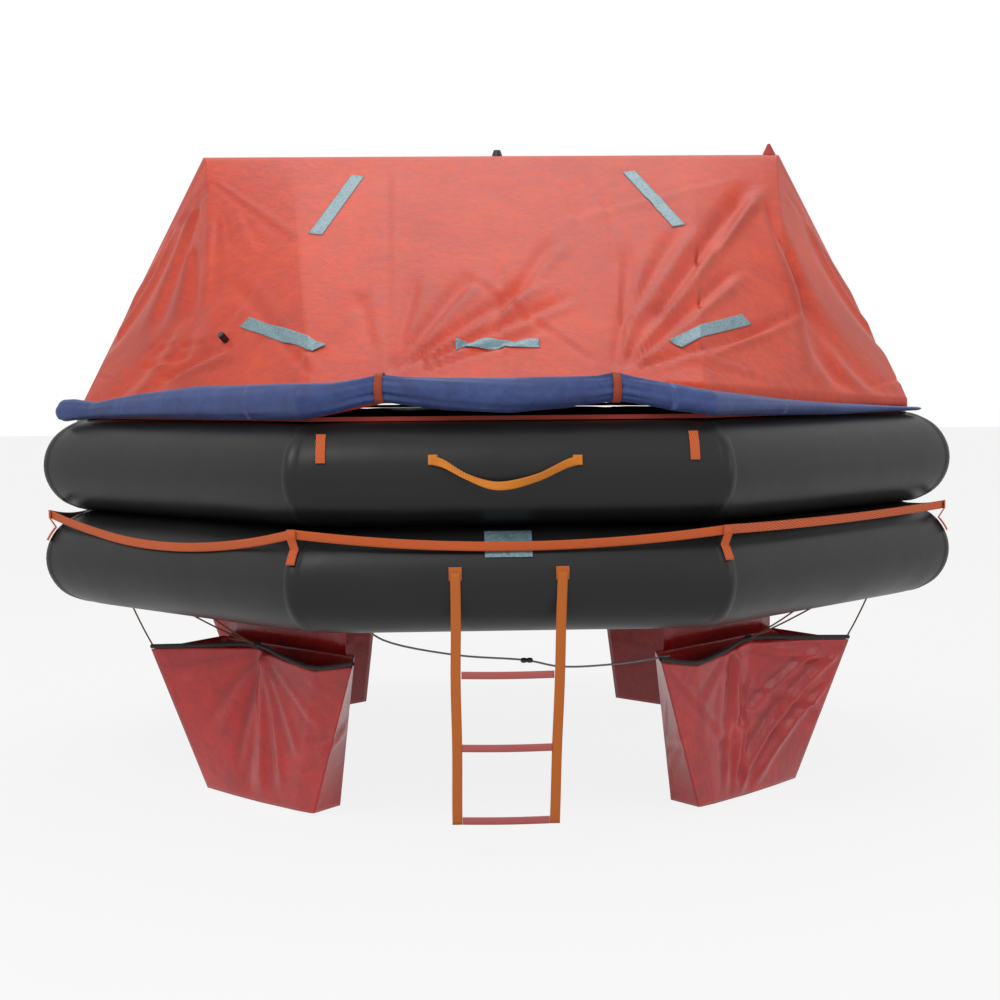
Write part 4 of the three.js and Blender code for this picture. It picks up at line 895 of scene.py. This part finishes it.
for side, bow in (("left", 1.0), ("right", -0.7)):
    z = np.linspace(STRAP_TOP, STRAP_END, 60)
    fade = np.sin(np.pi * np.clip((STRAP_TOP - z) / 0.70, 0, 1))
    middle = np.stack([ladder_x(side, z) + 0.0015 * bow * fade * np.sin(14 * z),
                       LADDER_Y - 0.0018 * fade * np.sin(19 * z + bow) ** 2, z], -1)
    tilt = 0.16 * bow * fade * np.sin(11 * z)
    across = np.stack([np.cos(tilt), np.sin(tilt), 0 * z], -1)
    facing = np.stack([np.sin(tilt), -np.cos(tilt), 0 * z], -1)
    strap = web(f"ladder_web_{side}", middle, across, facing, STRAP_WIDTH, STRAP_THICK,
                LADDER_ORANGE, "ladder")
    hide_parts(f"ladder_strap_{side}")
for number, z in enumerate(RUNG_LEVELS, 1):
    x = np.linspace(ladder_x("left", z) + 0.0146, ladder_x("right", z) - 0.0146, 30)
    droop = 0.0018 * np.sin(np.pi * np.linspace(0, 1, 30))
    middle = np.stack([x, np.full(30, LADDER_Y), z - droop], -1)
    rung = web(f"ladder_rung_web_{number}", middle, np.tile([0, 0, 1.0], (30, 1)),
               np.tile([0, -1.0, 0], (30, 1)), RUNG_HEIGHT, RUNG_THICK, RUNG_PINK, "ladder")
    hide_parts(f"ladder_rung_{number}")


# ---- Emergency pack: a stuffed bag of orange coated cloth that stands on the cabin floor. Its sides
# swell at half height and gather a little towards the seams.
PACK_CLOTH = coated_cloth("pack_cloth_orange", "#DA6430", "#A8421E", 0.6, coat=0.0)
PACK_CENTRE, PACK_HALF, PACK_LOW, PACK_TALL = (-0.48, 0.70), (0.210, 0.130), 0.0606, 0.1895


def pack_ring(height, count=72):
    """The rounded outline of the pack at a share of its height."""
    t = np.linspace(0, 2 * np.pi, count, endpoint=False)
    swell = 1 - 0.10 * abs(2 * height - 1) ** 3
    power = 0.32
    x = np.sign(np.cos(t)) * np.abs(np.cos(t)) ** power * PACK_HALF[0] * swell
    y = np.sign(np.sin(t)) * np.abs(np.sin(t)) ** power * PACK_HALF[1] * swell
    pinch = 1 - 0.02 * np.cos(9 * t + 4 * height) * (1 - height)
    return np.stack([PACK_CENTRE[0] + x * pinch, PACK_CENTRE[1] + y * pinch,
                     np.full(count, PACK_LOW + PACK_TALL * height)], -1)


rings = [pack_ring(h) for h in np.linspace(0, 1, 22)]
top = rings[-1]
crown = [top + (top.mean(0) - top) * s for s in (0.25, 0.5, 0.75, 0.97)]
base = [rings[0] + (rings[0].mean(0) - rings[0]) * s for s in (0.97, 0.6, 0.3)]
pack = grid_piece("emergency_pack_cloth", np.array(base + rings + crown), PACK_CLOTH,
                  ring=True, caps=True)
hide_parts("emergency_pack")


# ---- Parts kept as the CAD drew them: moulded valves and lamps, the steel bottle, brass head and
# lever, the floor, the arch tube and small sewn patches. Each gets its own finish and soft shading.
FLOOR_RUBBER = float_skin("floor_fabric_black", "#262524", "#151414")
WELT_RED = braided("welt_webbing_red", "#D0432A", "#9A2C1C", 0.6)
LAMP_DARK = moulded("lamp_plastic_dark", "#26272A", 0.3)
PALE_PLASTIC = moulded("valve_plastic_pale", "#C9CCCE", 0.35)
YELLOW_PLASTIC = moulded("cap_plastic_yellow", "#D8A828", 0.35)
PEAK_RED = coated_cloth("shoulder_cloth_red", "#D2402C", "#A92C20", 0.5, coat=0.0)
STEEL_GREY = brushed_metal("bottle_steel_grey", "#8E959B", 0.35)
BRASS = brushed_metal("valve_brass", "#B9954E", 0.3)
LEVER_RED = moulded("lever_paint_red", "#B83428", 0.35)
SLING_BLACK = braided("sling_webbing_black", "#2C2B2C", "#141314", 0.75)
KEPT = {
    FLOOR_RUBBER: ("floor", "arch_tube"),
    WELT_RED: ("canopy_welt_front", "canopy_welt_rear"),
    LIFELINE_ORANGE: ("tie_tab_left", "tie_tab_right"),
    LADDER_ORANGE: ("ladder_anchor_left", "ladder_anchor_right"),
    REFLECTIVE: ("tape_tube",),
    LAMP_DARK: ("canopy_light", "rain_spout", "inlet_valve_lower", "inlet_valve_upper",
                "topping_valve_lower", "topping_valve_upper"),
    PALE_PLASTIC: ("cabin_light", "relief_valve_lower", "relief_valve_upper"),
    YELLOW_PLASTIC: ("topping_cap_lower", "topping_cap_upper"),
    PEAK_RED: ("shoulder_peak",),
    STEEL_GREY: ("gas_bottle",),
    BRASS: ("valve_head",),
    LEVER_RED: ("firing_lever",),
    SLING_BLACK: ("bottle_sling_left", "bottle_sling_right"),
}
for finish, names in KEPT.items():
    for name in names:
        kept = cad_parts[name]
        kept.data.materials.clear()
        kept.data.materials.append(finish)
        kept.data.shade_smooth()
        kept.data.set_sharp_from_angle(angle=math.radians(32))


# ---- Floor, backdrop and lights of the studio: a plain pale floor and soft boxes. White comes from
# the floor's and the world's own brightness to the camera, so the raft gets no more light for it.
def studio_floor():
    material = bpy.data.materials.new("studio_paper_white")
    material.use_nodes = True
    tree = material.node_tree
    tree.nodes.clear()
    path = node(tree, "ShaderNodeLightPath")
    paper = node(tree, "ShaderNodeBsdfDiffuse", {"Color": linear("#E6E6E6")})
    glow = node(tree, "ShaderNodeEmission", {"Color": (1.0, 1.0, 1.0, 1.0), "Strength": 1.0})
    seen = node(tree, "ShaderNodeMath", {0: path.outputs["Is Camera Ray"], 1: path.outputs["Is Glossy Ray"]},
                operation="MAXIMUM")
    through = node(tree, "ShaderNodeMath", {0: seen.outputs[0], 1: path.outputs["Is Transmission Ray"]},
                   operation="MAXIMUM")
    share = node(tree, "ShaderNodeMath", {0: through.outputs[0], 1: 0.86}, operation="MULTIPLY")
    both = node(tree, "ShaderNodeMixShader", {0: share.outputs[0], 1: paper.outputs[0], 2: glow.outputs[0]})
    node(tree, "ShaderNodeOutputMaterial", {"Surface": both.outputs[0]})
    size = 40.0
    mesh = bpy.data.meshes.new("studio_floor")
    low = float(cad_box[0].z) - 0.004
    mesh.from_pydata([(-size, -size, low), (size, -size, low), (size, size, low), (-size, size, low)],
                     [], [(0, 1, 2, 3)])
    floor = bpy.data.objects.new("studio_floor", mesh)
    bpy.context.scene.collection.objects.link(floor)
    mesh.materials.append(material)


def soft_box(name, at, towards, size, power):
    light = bpy.data.lights.new(name, "AREA")
    light.shape = "RECTANGLE"
    light.size, light.size_y = size
    light.energy = power
    lamp = bpy.data.objects.new(name, light)
    lamp.location = at
    lamp.rotation_euler = (Vector(towards) - Vector(at)).to_track_quat("-Z", "Y").to_euler()
    bpy.context.scene.collection.objects.link(lamp)


studio_floor()
soft_box("key_light", (-2.6, -4.6, 4.6), (0, 0, 0.5), (3.0, 2.2), 130.0)
soft_box("fill_light", (4.5, -3.8, 2.4), (0, 0, 0.4), (2.6, 2.6), 40.0)
soft_box("top_light", (0.3, 1.6, 5.2), (0, 0, 0.6), (3.4, 2.4), 70.0)

world = bpy.data.worlds.new("studio_white")
bpy.context.scene.world = world
world.use_nodes = True
sky = world.node_tree
sky.nodes.clear()
rays = node(sky, "ShaderNodeLightPath")
looked = node(sky, "ShaderNodeMath", {0: rays.outputs["Is Camera Ray"], 1: rays.outputs["Is Glossy Ray"]},
              operation="MAXIMUM")
clear = node(sky, "ShaderNodeMath", {0: looked.outputs[0], 1: rays.outputs["Is Transmission Ray"]},
             operation="MAXIMUM")
soft = node(sky, "ShaderNodeBackground", {"Color": (1.0, 1.0, 1.0, 1.0), "Strength": 0.36})
white = node(sky, "ShaderNodeBackground", {"Color": (1.0, 1.0, 1.0, 1.0), "Strength": 1.0})
mix = node(sky, "ShaderNodeMixShader", {0: clear.outputs[0], 1: soft.outputs[0], 2: white.outputs[0]})
node(sky, "ShaderNodeOutputWorld", {"Surface": mix.outputs[0]})
